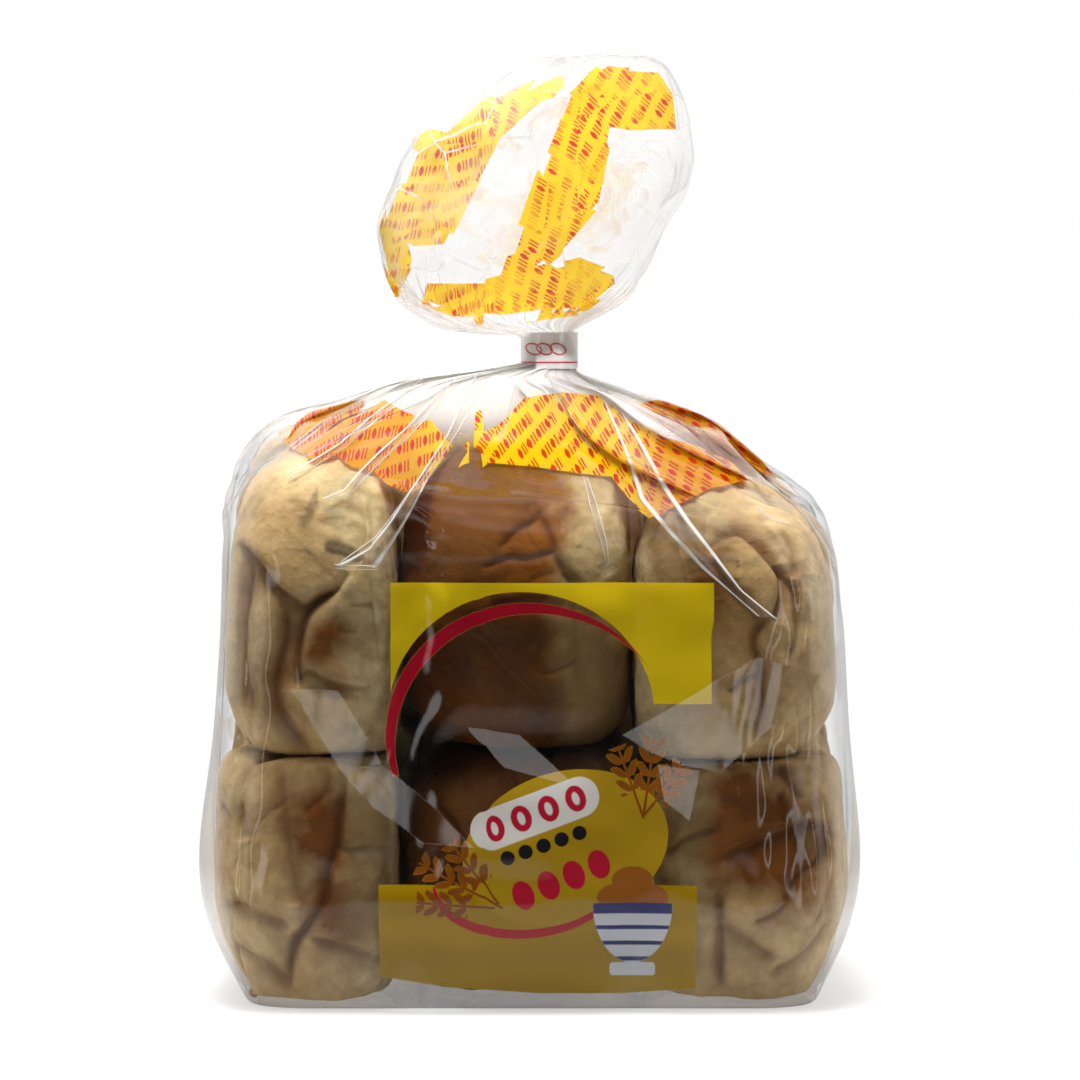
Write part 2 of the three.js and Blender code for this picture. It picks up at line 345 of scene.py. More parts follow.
def bun_body(name, counts, skin_tree):
    """One bun in its place: its own form, its points and quads, and how far a point is to its side."""
    middle, half, crown, lean, _, seed = BUNS[name]
    oversize = OVERSIZE if name in FOLDS else OVERSIZE_BEHIND
    middle, half = np.array(middle, float), np.array(half, float) * oversize
    d, quads = block_grid(counts)
    crowned, flat = superellipsoid(d, CROWN_POWER), superellipsoid(d, SIDE_POWER)
    towards = smoothstep(d[:, 0] * crown, -0.4, 0.4)[:, None]
    local = (crowned * towards + flat * (1 - towards)) * half
    lumps = layered_noise(local + 100 * seed, 30, seed, 2)
    local *= 1 + 0.05 * lumps[:, None]
    angle = math.radians(lean)
    c, s = math.cos(angle), math.sin(angle)
    turn = np.array([[c, 0, -s], [0, 1, 0], [s, 0, c]])
    p = press_in(press(local @ turn + middle, name), skin_tree)
    return local, evened(p, quads, 4), quads, -crown * local[:, 0] / half[0]


def crust_marks(name, local, p, reach, shown):
    """How far creases and roughness move each point out, how pale it is, and how deep in a crease."""
    seed = BUNS[name][-1]
    warped = local + 7.0 * np.stack([layered_noise(local, 20, seed + 3 + k, 3) for k in range(3)], -1)
    long = wrinkles(warped, 34, 0.045, seed + 40) * (1 - 0.75 * shown)
    patch = smoothstep(value_noise(local, 24, seed), -0.1, 0.4)
    fine = wrinkles(warped * [1, 1, 0.6], 11, 0.07, seed + 80) * patch
    net = np.zeros(len(p))
    if name == NETTED:
        spot = np.linalg.norm((p - NET_MIDDLE) / NET_REACH, axis=1)
        net = wrinkles(warped, 4.5, 0.16, seed + 90) * (1 - smoothstep(spot, 0.6, 1.0))
    # the torn pale side, where the buns were baked against each other
    ragged = layered_noise(local + 11, 20, seed + 6, 4)
    pale = smoothstep(reach + 0.3 * ragged, 0.3, 0.55)
    keep = 1 - 0.6 * pale
    rough = layered_noise(local, 3.2, seed + 7, 2)
    raised = layered_noise(warped, 13, seed + 21, 3)
    move = -(2.0 * long + 0.7 * fine + 0.5 * net) * keep + (0.22 * pale + 0.07) * rough + raised
    deep = np.maximum(0.8 * long, np.maximum(0.45 * fine, 0.8 * net)) * keep
    return move, pale, deep


def shape_bun(name, counts, skin_tree):
    """One bun: its points, quads, and (pale, deep in a fold, tone with painted light and shade, raised) for
    each point.
    """
    local, p, quads, reach = bun_body(name, counts, skin_tree)
    normal = soft_normals(p, quads, 10)
    shown = smoothstep(-normal[:, 1], 0.2, 0.55) if name in FOLDS else np.zeros(len(p))
    move, pale, deep = crust_marks(name, local, p, reach, shown)
    if name in FOLDS:
        folded, line = fold_relief(p, FOLDS[name])
        move += folded * shown
        deep = np.maximum(deep, line * shown)
    p = p + normal * np.minimum(move, HIGHEST_MARK)[:, None]
    p[:, 2] = np.maximum(p[:, 2], LOWEST_CRUST)
    tone_and_light = np.full(len(p), BUNS[name][-2])
    # darker patches: partly browning, partly painted shade
    if name in BROWNED_AND_SHADED:
        tone_and_light = tone_and_light + browned_and_shaded(p, BROWNED_AND_SHADED[name]) * shown
    skin = np.stack([pale, np.clip(deep, 0, 1), tone_and_light, 0.5 + 0.25 * move], -1)
    return p, quads, skin


def press(p, name):
    """Flattens a bun where its neighbours and the floor press on it."""
    middle, half = (np.array(v, float) for v in BUNS[name][:2])
    for other, (other_middle, other_half, *_) in BUNS.items():
        if other == name:
            continue
        gap = np.array(other_middle, float) - middle
        axis = int(np.argmax(np.abs(gap) / (half + np.array(other_half))))
        reach = half[axis] + other_half[axis]
        if abs(gap[axis]) > reach * 1.15:
            continue
        across = [k for k in range(3) if k != axis]
        if any(abs(gap[k]) > 0.75 * (half[k] + other_half[k]) for k in across):
            continue
        plane = middle[axis] + gap[axis] * half[axis] / reach
        sign = math.copysign(1, gap[axis])
        p[:, axis] = sign * soft_limit(sign * p[:, axis], sign * plane - BUN_GAP, 2.4)
    p[:, 2] = -soft_limit(-p[:, 2], -FLOOR_GAP, 2.0)
    return p


def press_in(p, skin_tree):
    """Flattens a bun against the film."""
    for i, point in enumerate(p):
        at, out, _, _ = skin_tree.find_nearest(Vector(point))
        gap = Vector(point) - at
        beyond = gap.dot(out)
        if beyond > 0:
            beyond = gap.length
            out = gap / beyond
        if beyond > -UNDER_FILM - 7:
            pressed = float(soft_limit(beyond, -UNDER_FILM, 2.6))
            p[i] = point + np.array(out) * (pressed - beyond)
    return p


def mesh_object(name, points, faces):
    """A smooth-shaded mesh of quads, from millimetres."""
    mesh = bpy.data.meshes.new(name)
    faces = np.asarray(faces)
    mesh.vertices.add(len(points))
    mesh.vertices.foreach_set("co", (np.asarray(points, float) * MM).ravel())
    mesh.loops.add(faces.size)
    mesh.loops.foreach_set("vertex_index", faces.ravel().astype(np.int32))
    mesh.polygons.add(len(faces))
    mesh.polygons.foreach_set("loop_start", np.arange(0, faces.size, faces.shape[1], dtype=np.int32))
    mesh.polygons.foreach_set("use_smooth", np.ones(len(faces), bool))
    mesh.update(calc_edges=True)
    mesh.validate()
    made = bpy.data.objects.new(name, mesh)
    bpy.context.collection.objects.link(made)
    return made


def dress(made, material):
    """Gives a piece its material and the place of the solid bag."""
    made.data.materials.append(material)
    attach(made, "root")
    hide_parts("bag")


def mesh_tree(made):
    """An object's mesh, for finding points and casting rays."""
    corners = [v.co for v in made.data.vertices]
    return BVHTree.FromPolygons(corners, [f.vertices for f in made.data.polygons])


def make_buns(material):
    made = []
    skin_tree = bag_skin()
    for name in BUNS:
        counts = np.array(FRONT_GRID if name in FOLDS else BACK_GRID)
        points, quads, skin = shape_bun(name, counts, skin_tree)
        bun = mesh_object(name, points, quads)
        layer = bun.data.color_attributes.new("skin", "FLOAT_COLOR", "POINT")
        layer.data.foreach_set("color", skin.ravel())
        dress(bun, material)
        made.append(bun)
    return made


# ---------------------------------------------------------------- film over the buns

NECK = np.array([4.0, 0.0])
NECK_HALF = (5.9, 4.5)
NECK_BOTTOM, NECK_TOP = 155.4, 157.4
HULL_DIRECTIONS, RING_POINTS = 28, 360
FOOTPRINT = (70.0, 57.0, 13.0)  # half width, half depth, corner
HELD_UP = [(-16, -5, 155), (-34, 0, 153.2), (-51, 4, 147.8), (24, 2, 150.5), (44, 10, 143.5)]
# Where the film stands off the buns at the sides
HELD_OUT = [(81.5, 0, 96), (81.3, 0, 71), (-79, 0, 121), (-79.3, 0, 99), (-77.8, 0, 62)]
CLEARANCE = 1.0
AIR = (34.0, 28.0, 2.4)  # height, spread and extra clearance of the air round the lower layer
CIRCUMFERENCE = 570.0

# Dips of the film over the gaps between buns, on the faces and on the sides
SAG_FACE, SAG_BEHIND, SAG_SIDE, SAG_WIDTH = 2.2, 0.3, 0.8, 9.0
COLUMN_GAPS, COLUMN_GAPS_BEHIND = (-32.0, 25.0), (-28.5, 29.0)
ROW_GAP, LAYER_GAP = 1.0, 64.0

# Tucks: direction from the neck (degrees, -90 faces the shopper), height of the tip, share
TUCKS = [
    (-22.0, 122.0, 0.8),
    (-40.0, 124.0, 0.8),
    (-52.0, 141.0, 0.7),
    (-104.0, 145.0, 0.6),
    (-125.0, 146.0, 0.9),
    (-140.0, 138.0, 1.0),
    (-160.0, 128.0, 0.8),
    (172.0, 124.0, 1.0),
    (140.0, 120.0, 1.0),
    (112.0, 104.0, 1.3),
    (78.0, 126.0, 0.8),
    (45.0, 110.0, 1.2),
    (14.0, 122.0, 0.9),
]
PLAIN_COLUMNS = 10
FILM_GAP = 0.7  # the least room between the film and the finished buns
BAND_LOW, FRONT_FACE = 117.0, -24.0  # the band's print is above one, the front's is before the other
UNDER_SHARES = (0.02, 0.25, 0.5, 0.72, 0.9, 0.98)  # the sizes of the rings under the bag
LAYER = 0.45


def bag_skin(held_out=()):
    """The taut skin over the footprint, the buns and the bottom of the neck, for ray casts."""
    hull = bmesh.new()
    t = np.linspace(0, 2 * math.pi, HULL_DIRECTIONS * 2, endpoint=False)
    f = np.linspace(0, math.pi, HULL_DIRECTIONS)
    fall, turn = (g.ravel() for g in np.meshgrid(f, t, indexing="ij"))
    ball = np.stack([np.sin(fall) * np.cos(turn), np.sin(fall) * np.sin(turn), np.cos(fall)], -1)
    ball = superellipsoid(ball, BLOCK_POWER)
    points = [np.array(m) + ball * np.array(h) for m, h, *_ in BUNS.values()]
    c, s = np.cos(t), np.sin(t)
    wide, deep, corner = FOOTPRINT
    foot = [np.sign(c) * (wide - corner) + corner * c, np.sign(s) * (deep - corner) + corner * s]
    points.append(np.stack([*foot, 0 * t], -1))
    neck = [NECK[0] + NECK_HALF[0] * c, NECK_HALF[1] * s]
    points.append(np.stack([*neck, 0 * t + NECK_BOTTOM], -1))
    points.append(np.array([*HELD_UP, *held_out], float))
    points = np.concatenate(points)
    points[:, 2] = np.maximum(points[:, 2], 0)
    for p in points:
        hull.verts.new(p)
    bmesh.ops.convex_hull(hull, input=hull.verts)
    bmesh.ops.recalc_face_normals(hull, faces=hull.faces)
    tree = BVHTree.FromBMesh(hull)
    hull.free()
    return tree


def sag_at(x, y, z, way):
    """How far the film dips between neighbouring buns."""
    gaps, dip = (COLUMN_GAPS, SAG_FACE) if y < 0 else (COLUMN_GAPS_BEHIND, SAG_BEHIND)
    column = max(math.exp(-(((x - gap) / SAG_WIDTH) ** 2)) for gap in gaps)
    row = math.exp(-(((y - ROW_GAP) / SAG_WIDTH) ** 2))
    layer = 0.7 * math.exp(-(((z - LAYER_GAP) / SAG_WIDTH) ** 2))
    fade = float(smoothstep(z, 0, 20) * (1 - smoothstep(z, 108, 134)))
    on_face, on_side = way.y**2 * max(column, layer), way.x**2 * max(row, layer)
    return fade * (dip * on_face + SAG_SIDE * on_side)


def axis_at(z):
    return NECK[0] * float(smoothstep(z, 70, 140))


def hull_ring(tree, z):
    """The hull's cross-section at one height, as points at even angles from the back round."""
    x0 = axis_at(z)
    angles = math.pi / 2 + np.linspace(0, 2 * math.pi, RING_POINTS, endpoint=False)
    ring = np.empty((RING_POINTS, 2))
    for i, a in enumerate(angles):
        way = Vector((math.cos(a), math.sin(a), 0))
        hit = tree.ray_cast(Vector((x0, 0, z)), way, 400)
        radius = hit[3] if hit[3] is not None else 1.0
        radius -= sag_at(x0 + radius * way.x, radius * way.y, z, way)
        ring[i] = x0 + radius * way.x, radius * way.y
    return ring


def lengths_along(points):
    """How far along a run of points each one is."""
    return np.concatenate([[0], np.cumsum(np.linalg.norm(np.diff(points, axis=0), axis=1))])


def read_along(steps, along, points):
    """The places on a run of points at lengths along it."""
    return np.stack([np.interp(steps, along, column) for column in points.T], -1)


def share_at(ring, degrees):
    """How far round a ring, as a share of its length, the point in a direction is."""
    along = lengths_along(np.concatenate([ring, ring[:1]]))
    turn = ((degrees - 90) % 360) / 360 * len(ring)
    return np.interp(turn, np.arange(len(ring) + 1), along) / along[-1]


def resample(ring, share):
    """Points on a closed ring at shares of its length, and the ways out of it."""
    closed = np.concatenate([ring, ring[:1]])
    along = lengths_along(closed)
    s = (share % 1.0) * along[-1]
    step = 0.6
    ahead = read_along((s + step) % along[-1], along, closed)
    tangent = unit(ahead - read_along((s - step) % along[-1], along, closed))
    return read_along(s, along, closed), np.stack([tangent[:, 1], -tangent[:, 0]], -1)


# One tuck's columns, in units of its fold: film coordinate, where it lies, and its layer
TUCK_FILM = np.array([-1.5, -1.15, -0.8, -0.5, 0.0, 0.5, 0.8, 1.15, 1.5])
TUCK_PLACE = np.array([-0.5, -0.15, 0.2, 0.5, 0.0, -0.5, -0.2, 0.15, 0.5])
TUCK_LAYER = np.array([0.0, 0.1, 0.3, 0.7, 1.2, 1.8, 1.8, 1.7, 1.5])
TUCK_SPACING = 0.9 * (np.arange(9) - 4)
TUCK_HALF = 3.6  # half the width of its columns' spacing
TUCK_FADE = 7.0  # the height over which it grows from its tip
FAN_ROW = 20  # the row that the tucks' directions are measured on
PLEATS = 44


def film_row(z, ring, tucks):
    """One row of the film: points in its level, and how far round the film each of them is."""
    centres, tips, weights = tucks.T
    count = len(centres)
    length = np.linalg.norm(np.roll(ring, -1, 0) - ring, axis=1).sum()
    want = 0.5 * max(0.0, CIRCUMFERENCE - length) * weights / sum(weights)
    room = 0.42 * length / count * np.minimum(weights, 1.3)
    folds = np.minimum(want, room) * smoothstep(z, tips, tips + TUCK_FADE)
    squeeze = min(1.0, 0.3 * length / count / (2 * TUCK_HALF))
    half = (folds / 2 + TUCK_HALF * squeeze) / length
    where, layer, film = [], [], []
    for k in range(count):
        thick = float(smoothstep(folds[k], 0, 4))
        where.append(centres[k] + (TUCK_PLACE * folds[k] + TUCK_SPACING * squeeze) / length)
        layer.append(TUCK_LAYER * thick)
        film.append(centres[k] * CIRCUMFERENCE + TUCK_FILM * folds[k] + TUCK_SPACING)
        # the plain film from this tuck to the next
        here = centres[k] + half[k]
        following = centres[(k + 1) % count] + (1 if k == count - 1 else 0)
        ahead = following - half[(k + 1) % count]
        t = np.linspace(0, 1, PLAIN_COLUMNS + 2)[1:-1]
        where.append(here + (ahead - here) * t)
        over = np.exp(-t * (ahead - here) * length / 4.0)
        layer.append(TUCK_LAYER[-1] * thick * over)
        f0 = centres[k] * CIRCUMFERENCE + 1.5 * folds[k] + TUCK_HALF
        f1 = following * CIRCUMFERENCE - 1.5 * folds[(k + 1) % count] - TUCK_HALF
        film.append(f0 + (f1 - f0) * t)
    where, layer, film = (np.concatenate(v) for v in (where, layer, film))
    at, normal = resample(ring, where)
    air = math.exp(-(((z - AIR[0]) / AIR[1]) ** 2)) * float(smoothstep(z, 0, 12))
    out = CLEARANCE * float(smoothstep(z, 0, 6)) + AIR[2] * air + layer * LAYER
    near = float(smoothstep(z, 140, NECK_BOTTOM - 1))
    pleat = np.cos(2 * math.pi * film / CIRCUMFERENCE * PLEATS + 2.0 * np.sin(film / 31))
    return at + normal * (out * (1 - 0.6 * near) + near * 0.8 * (pleat - 0.4))[:, None], film


def lay_film():
    """The film laid taut over the buns, with its tucks: points, places round it and depths."""
    tree = bag_skin(HELD_OUT)
    high = np.linspace(110, NECK_BOTTOM - 0.4, 34)[1:]
    heights = np.concatenate([np.linspace(0.6, 110, 34), high, [NECK_TOP]])
    rings = [hull_ring(tree, z) for z in heights[:-1]]
    turn = math.pi / 2 + np.linspace(0, 2 * math.pi, RING_POINTS, endpoint=False)
    rings.append(np.stack([np.cos(turn), np.sin(turn)], -1) * NECK_HALF + NECK)
    tucks = np.array(sorted((share_at(rings[FAN_ROW], way), tip, weight) for way, tip, weight in TUCKS))
    rows, film = [], []
    for z, ring in zip(heights, rings):
        flat, around = film_row(z, ring, tucks)
        rows.append(np.concatenate([flat, np.full((len(flat), 1), z)], 1))
        film.append(around)
    points = np.stack(rows)
    drop = np.linalg.norm(np.diff(points, axis=0), axis=2)
    depth = np.concatenate([np.cumsum(drop[::-1], axis=0)[::-1], np.zeros((1, points.shape[1]))])
    return points, np.stack(film), depth


def sheet_normals(p):
    return unit(np.cross(np.roll(p, -1, 1) - np.roll(p, 1, 1), np.gradient(p, axis=0)))


# The links of a sheet: steps up and along, and how it resists being drawn out and being squeezed
LINKS = [
    (0, 1, 1.0, 0.7),
    (1, 0, 1.0, 0.8),
    (1, 1, 0.7, 0.4),
    (1, -1, 0.7, 0.4),
    (0, 2, 0.0, 0.25),
    (2, 0, 0.0, 0.25),
]
LINK_SHARE = 0.24  # how much of a link's fault one sweep mends
SWEEPS, DAMPING, FASTEST = 3, 0.92, 1.2
LOWEST_FILM = 0.15


def relax(points, held, slack, steps, pressure, collide, reach=6.0):
    """Moves a sheet of rows by rings until it hardly stretches, and hardly shortens."""
    p = points.copy()
    rows = len(p)
    free = (~held)[..., None].astype(float)
    families = []
    for up, along, stiff, squeeze in LINKS:
        rest = np.linalg.norm(np.roll(points, -along, axis=1)[up:] - points[: rows - up], axis=2)
        families.append((up, along, rest * (1 + slack[: rows - up]), stiff, squeeze))
    velocity = np.zeros_like(p)
    for _ in range(steps):
        before = p.copy()
        p += free * (velocity * DAMPING + sheet_normals(p) * pressure)
        for _ in range(SWEEPS):
            for up, along, rest, stiff, squeeze in families:
                upper, lower = p[up:], p[: rows - up]
                gap = np.roll(upper, -along, axis=1) - lower
                length = np.maximum(np.linalg.norm(gap, axis=2, keepdims=True), 1e-9)
                wrong = length - rest[..., None]
                strength = np.where(wrong > 0, stiff, squeeze) * LINK_SHARE
                push = gap / length * wrong * strength
                lower += push * free[: rows - up]
                upper -= np.roll(push, along, axis=1) * free[up:]
        moved = p - points
        far = np.linalg.norm(moved, axis=2, keepdims=True)
        p = collide(points + moved * np.minimum(1.0, reach / np.maximum(far, 1e-9)), free)
        p[..., 2] = np.maximum(p[..., 2], LOWEST_FILM)
        velocity = (p - before) * free
        speed = np.linalg.norm(velocity, axis=2, keepdims=True)
        velocity *= np.minimum(1.0, FASTEST / np.maximum(speed, 1e-9))
    return p


def bun_collider(margin):
    """Pushes points out of the buns, taken as plain rounded blocks."""
    blocks = []
    for middle, half, _, lean, *_ in BUNS.values():
        angle = math.radians(lean)
        c, s = math.cos(angle), math.sin(angle)
        turn = np.array([[c, 0, s], [0, 1, 0], [-s, 0, c]])
        blocks.append((np.array(middle, float), np.array(half, float) + margin, turn))

    def collide(p, free):
        for middle, half, turn in blocks:
            q = np.abs((p - middle) @ turn / half)
            r = (q**BLOCK_POWER).sum(-1, keepdims=True) ** (1 / BLOCK_POWER)
            inside = (r < 1) & (free > 0)
            p = np.where(inside, middle + (p - middle) / np.maximum(r, 0.05), p)
        return p

    return collide


def clear_buns(points, held, trees):
    """Moves the film out of the finished buns wherever it still touches one."""
    flat = points.reshape(-1, 3)
    free = ~held.ravel()
    for i in np.nonzero(free)[0]:
        for tree in trees:
            at, normal, *_ = tree.find_nearest(Vector(flat[i] * MM), 0.006)
            if at is None:
                continue
            above = (Vector(flat[i] * MM) - at).dot(normal)
            if above < FILM_GAP * MM:
                flat[i] = np.array(at + normal * FILM_GAP * MM) / MM
    return points


def folded_facets(u, v, size, count, seed):
    """A relief of flat facets, from -1 to 1: straight folds crossing in several directions."""
    rng = np.random.default_rng(seed)
    place = np.stack([u, v, np.zeros_like(u)], -1)
    total = 0.0
    for k in range(count):
        turn = math.pi * (k + rng.uniform(0.2, 0.8)) / count
        along = (u * math.cos(turn) + v * math.sin(turn)) / (size * rng.uniform(0.8, 1.25))
        saw = np.abs((along + rng.uniform(0, 2)) % 2 - 1) * 2 - 1
        total = total + saw * smoothstep(value_noise(place + 40 * k, 1.3 * size, seed + k), -0.4, 0.3)
    return total / math.sqrt(count)


def film_object(name, points, film, depth, material):
    """The mesh of a sheet, with the film's own coordinates and those of the bag's two faces."""
    rows, cols = points.shape[:2]
    index = np.arange(rows * cols).reshape(rows, cols)
    following = np.roll(index, -1, axis=1)
    quads = np.stack([index[:-1], following[:-1], following[1:], index[1:]], -1).reshape(-1, 4)
    made = mesh_object(name, points.reshape(-1, 3), quads)
    mesh = made.data
    around = np.concatenate([film, film[:, :1] + CIRCUMFERENCE], 1)
    column = np.tile(np.arange(cols), rows - 1)
    row = np.repeat(np.arange(rows - 1), cols)
    corner_rows = np.stack([row, row, row + 1, row + 1], -1)
    corner_cols = np.stack([column, column + 1, column + 1, column], -1)
    u = around[corner_rows, corner_cols]
    v = depth[corner_rows, corner_cols % cols]
    set_uv(mesh, "film", np.stack([u, v], -1))
    corners = points.reshape(-1, 3)[quads]
    middle_y = corners[..., 1].mean(1)
    set_uv(mesh, "face", corners[..., [0, 2]])
    side = np.repeat((middle_y > 0).astype(float)[:, None], 4, axis=1)
    set_uv(mesh, "side", np.stack([side, side], -1))
    dress(made, material)
    return made


def set_uv(mesh, name, values):
    layer = mesh.uv_layers.new(name=name)
    layer.data.foreach_set("uv", values.reshape(-1).astype(np.float32))


def refine(made):
    """One smoothing subdivision, applied."""
    modifier = made.modifiers.new("fine", "SUBSURF")
    modifier.levels = modifier.render_levels = 1
    modifier.uv_smooth = "NONE"
    bpy.context.view_layer.objects.active = made
    bpy.ops.object.modifier_apply(modifier=modifier.name)


def smoothed(points, amount, passes):
    """The sheet with each point moved towards its neighbours, by a share of the way for each."""
    for _ in range(passes):
        along = points.copy()
        along[1:-1] = (points[:-2] + points[2:]) / 2
        across = (np.roll(points, 1, 1) + np.roll(points, -1, 1)) / 2
        points = points + amount[..., None] * ((along + across) / 2 - points)
    return points


def creased_film(points, held, film, depth):
    """The relaxed film with straight folds and flat facets, the less the more it faces sideways."""
    facets = folded_facets(film, depth, 46.0, 5, 31) * 0.6 + folded_facets(film, depth, 21.0, 4, 32) * 0.22
    z = points[..., 2]
    fade = smoothstep(z, 1, 16) * (1 - smoothstep(z, 138, 152))
    out = sheet_normals(points)
    sideways = smoothstep(np.abs(out[..., 0]), 0.45, 0.8) * (1 - smoothstep(z, 98, 120))
    points = smoothed(points, 0.9 * sideways * ~held, 24)
    fade = fade * (1 - 0.9 * sideways) * (1 - 0.6 * out[..., 0] ** 2)
    return points + out * (facets * fade)[..., None]


def with_bottom(points, film, depth):
    """The film with rings under the bag that close its flat bottom."""
    first = points[0]
    centre = first.mean(0)
    rings, depths = [], []
    for share in UNDER_SHARES:
        ring = centre + (first - centre) * share
        ring[:, 2] = 0.12 + 0.3 * (1 - share) * (1 + value_noise(ring, 9, 3))
        rings.append(ring)
        depths.append(depth[0] + 60 * (1 - share))
    under = [np.stack(rings), np.tile(film[0], (len(rings), 1)), np.stack(depths)]
    return [np.concatenate(pair) for pair in zip(under, (points, film, depth))]


def set_materials(mesh, others):
    """Gives the shoulders and the front their own printed film."""
    centre = np.empty(3 * len(mesh.polygons))
    mesh.polygons.foreach_get("center", centre)
    _, y, z = centre.reshape(-1, 3).T / MM
    for material in others:
        mesh.materials.append(material)
    place = np.where(z > BAND_LOW, 1, np.where(y < FRONT_FACE, 2, 0))
    mesh.polygons.foreach_set("material_index", place.astype(np.int32))


def make_film(buns, plain, band, front):
    points, film, depth = lay_film()
    held = np.zeros(points.shape[:2], bool)
    held[0] = held[-2:] = True
    slack = 0.007 + 0.006 * value_noise(points, 26, 5)
    start = 0.25 * value_noise(points, 13, 8)
    points[1:-1] += (sheet_normals(points) * start[..., None])[1:-1]
    points = relax(points, held, slack, 70, -0.003, bun_collider(-0.6), reach=2.6)
    points = creased_film(points, held, film, depth)
    points = clear_buns(points, held, [mesh_tree(bun) for bun in buns])
    made = film_object("film", *with_bottom(points, film, depth), plain)
    set_materials(made.data, [band, front])
    refine(made)
    return made


# ---------------------------------------------------------------- tucks that stand off the film

# Each tuck from the neck to its foot: x and y of its left edge and of its right edge, on the
# picture's grid
TUCKS_SEEN = [
    [
        (483, 361, 492, 368), (470, 384, 484, 387), (446, 436, 458, 432), (409, 492, 430, 476),
        (386, 526, 410, 515), (366, 550, 394, 542), (334, 566, 378, 568),
    ],
    [
        (462, 372, 466, 378), (436, 396, 441, 402), (404, 429, 411, 435), (379, 451, 386, 458),
        (358, 472, 366, 478), (343, 490, 350, 494), (322, 498, 329, 502),
    ],
    [
        (441, 364, 446, 368), (402, 393, 407, 398), (370, 416, 376, 421), (338, 444, 344, 449),
        (308, 462, 314, 467), (287, 472, 289, 479),
    ],
    [
        (596, 383, 606, 386), (624, 450, 640, 438), (640, 500, 668, 487), (668, 533, 690, 520),
        (700, 567, 715, 553), (732, 594, 742, 590), (757, 616, 779, 620),
    ],
    [
        (590, 384, 596, 386), (640, 425, 646, 426), (700, 457, 706, 459), (757, 478, 763, 482),
        (797, 507, 803, 510), (822, 545, 827, 546), (840, 580, 842, 578),
    ],
    [(520, 374, 525, 374), (512, 395, 518, 396), (505, 420, 509, 421), (497, 440, 500, 441)],
    [(548, 375, 553, 375), (556, 398, 562, 399), (570, 420, 575, 421), (590, 448, 593, 449)],
    [(600, 390, 606, 390), (650, 405, 656, 406), (700, 428, 705, 430), (735, 455, 738, 458)],
    [(430, 372, 434, 374), (380, 392, 384, 395), (330, 414, 334, 418), (290, 446, 293, 450)],
    [(334, 564, 334, 568), (348, 565, 348, 570), (364, 565, 364, 570), (378, 566, 378, 570)],
    [(429, 463, 433, 465), (400, 504, 404, 506), (376, 536, 380, 539), (340, 562, 344, 565)],
    [(583, 476, 587, 476), (590, 508, 598, 506), (601, 542, 607, 540), (607, 566, 609, 564)],
    [(755, 508, 757, 505), (766, 519, 769, 515), (778, 523, 779, 519), (790, 526, 791, 523)],
]
TUCK_PROFILE = [0.0, 0.9, 0.7, 0.6, 0.7, 0.9, 0.0]  # how high it stands, from edge to edge
TUCK_HEIGHT, TUCK_CLEARANCE = 1.2, 0.5


def on_film(film_tree, picture_points):
    """Where the shopper sees points of the picture's grid on the film, and the way to them."""
    ahead = (AIM - EYE).normalized()
    right = ahead.cross(Vector((0, 0, 1))).normalized()
    up = right.cross(ahead)
    scale = FRAME_WIDTH / (AIM - EYE).length / 1080
    places = []
    for x, y in picture_points:
        way = (ahead + right * ((x - 540) * scale) + up * ((540 - y) * scale)).normalized()
        at, *_ = film_tree.ray_cast(EYE, way)
        if at is not None:
            places.append(np.array(at) / MM)
    return np.array(places), np.array(way)


def even_steps(points, spacing):
    """The same run of points at even steps."""
    along = lengths_along(points)
    return read_along(np.linspace(0, along[-1], max(4, int(along[-1] / spacing))), along, points)


def lay_tuck(film_tree, edges):
    """Rows of points from edge to edge of one tuck, from the neck down."""
    share = np.linspace(0, 1, len(TUCK_PROFILE))
    rows = []
    for k, (x0, y0, x1, y1) in enumerate(edges):
        seen = np.stack([x0 + (x1 - x0) * share, y0 + (y1 - y0) * share], -1)
        places, way = on_film(film_tree, seen)
        if len(places) < len(share):
            continue
        along = k / (len(edges) - 1)
        height = TUCK_HEIGHT * min(1.0, 6 * along) * (1 if k < len(edges) - 1 else 0.05)
        height *= min(1.0, np.linalg.norm(places[-1] - places[0]) / 2.4)
        rows.append(places - way * (TUCK_CLEARANCE + height * np.array(TUCK_PROFILE))[:, None])
    return rows


def make_tucks(film, material):
    film_tree = mesh_tree(film)
    points, faces, across = [], [], []
    width = len(TUCK_PROFILE)
    for edges in TUCKS_SEEN:
        rows = lay_tuck(film_tree, even_steps(np.array(edges, float), 5.0))
        for row in range(len(rows) - 1):
            for column in range(width - 1):
                a = len(points) + row * width + column
                faces.append((a, a + 1, a + width + 1, a + width))
                left, right = column / (width - 1), (column + 1) / (width - 1)
                across.append([(left, 0), (right, 0), (right, 0), (left, 0)])
        points.extend(np.concatenate(rows))
    made = mesh_object("film_tucks", np.array(points), faces)
    set_uv(made.data, "across", np.array(across))
    dress(made, material)
    refine(made)


# ---------------------------------------------------------------- the tail of spare film

# The tail as the shopper sees it: (height, left edge), (height, right edge), and half its depth
TAIL_LEFT = [
    (164.4, -2.0), (166.4, -22), (172.6, -34), (182, -36.5), (193.5, -37.5), (204, -32.5),
    (216, -27.3), (223, -13), (231.7, -1), (233.6, 8),
]
TAIL_RIGHT = [
    (164.4, 10), (167, 13), (176.4, 24.5), (201, 40), (204.4, 41), (217.7, 39), (231.7, 33), (233.6, 30),
]
TAIL_DEPTH = [
    (164.4, 4.6), (168, 10), (176, 17), (190, 21.5), (206, 20.5), (220, 14.5), (231.7, 5), (233.6, 0.8),
]
TAIL_COLUMNS = 176
TAIL_HELD = 5  # rows in the neck that stay where they are
TAIL_ROUNDNESS = 0.9
TAIL_PLEATS, TAIL_WAVES = 40, 7


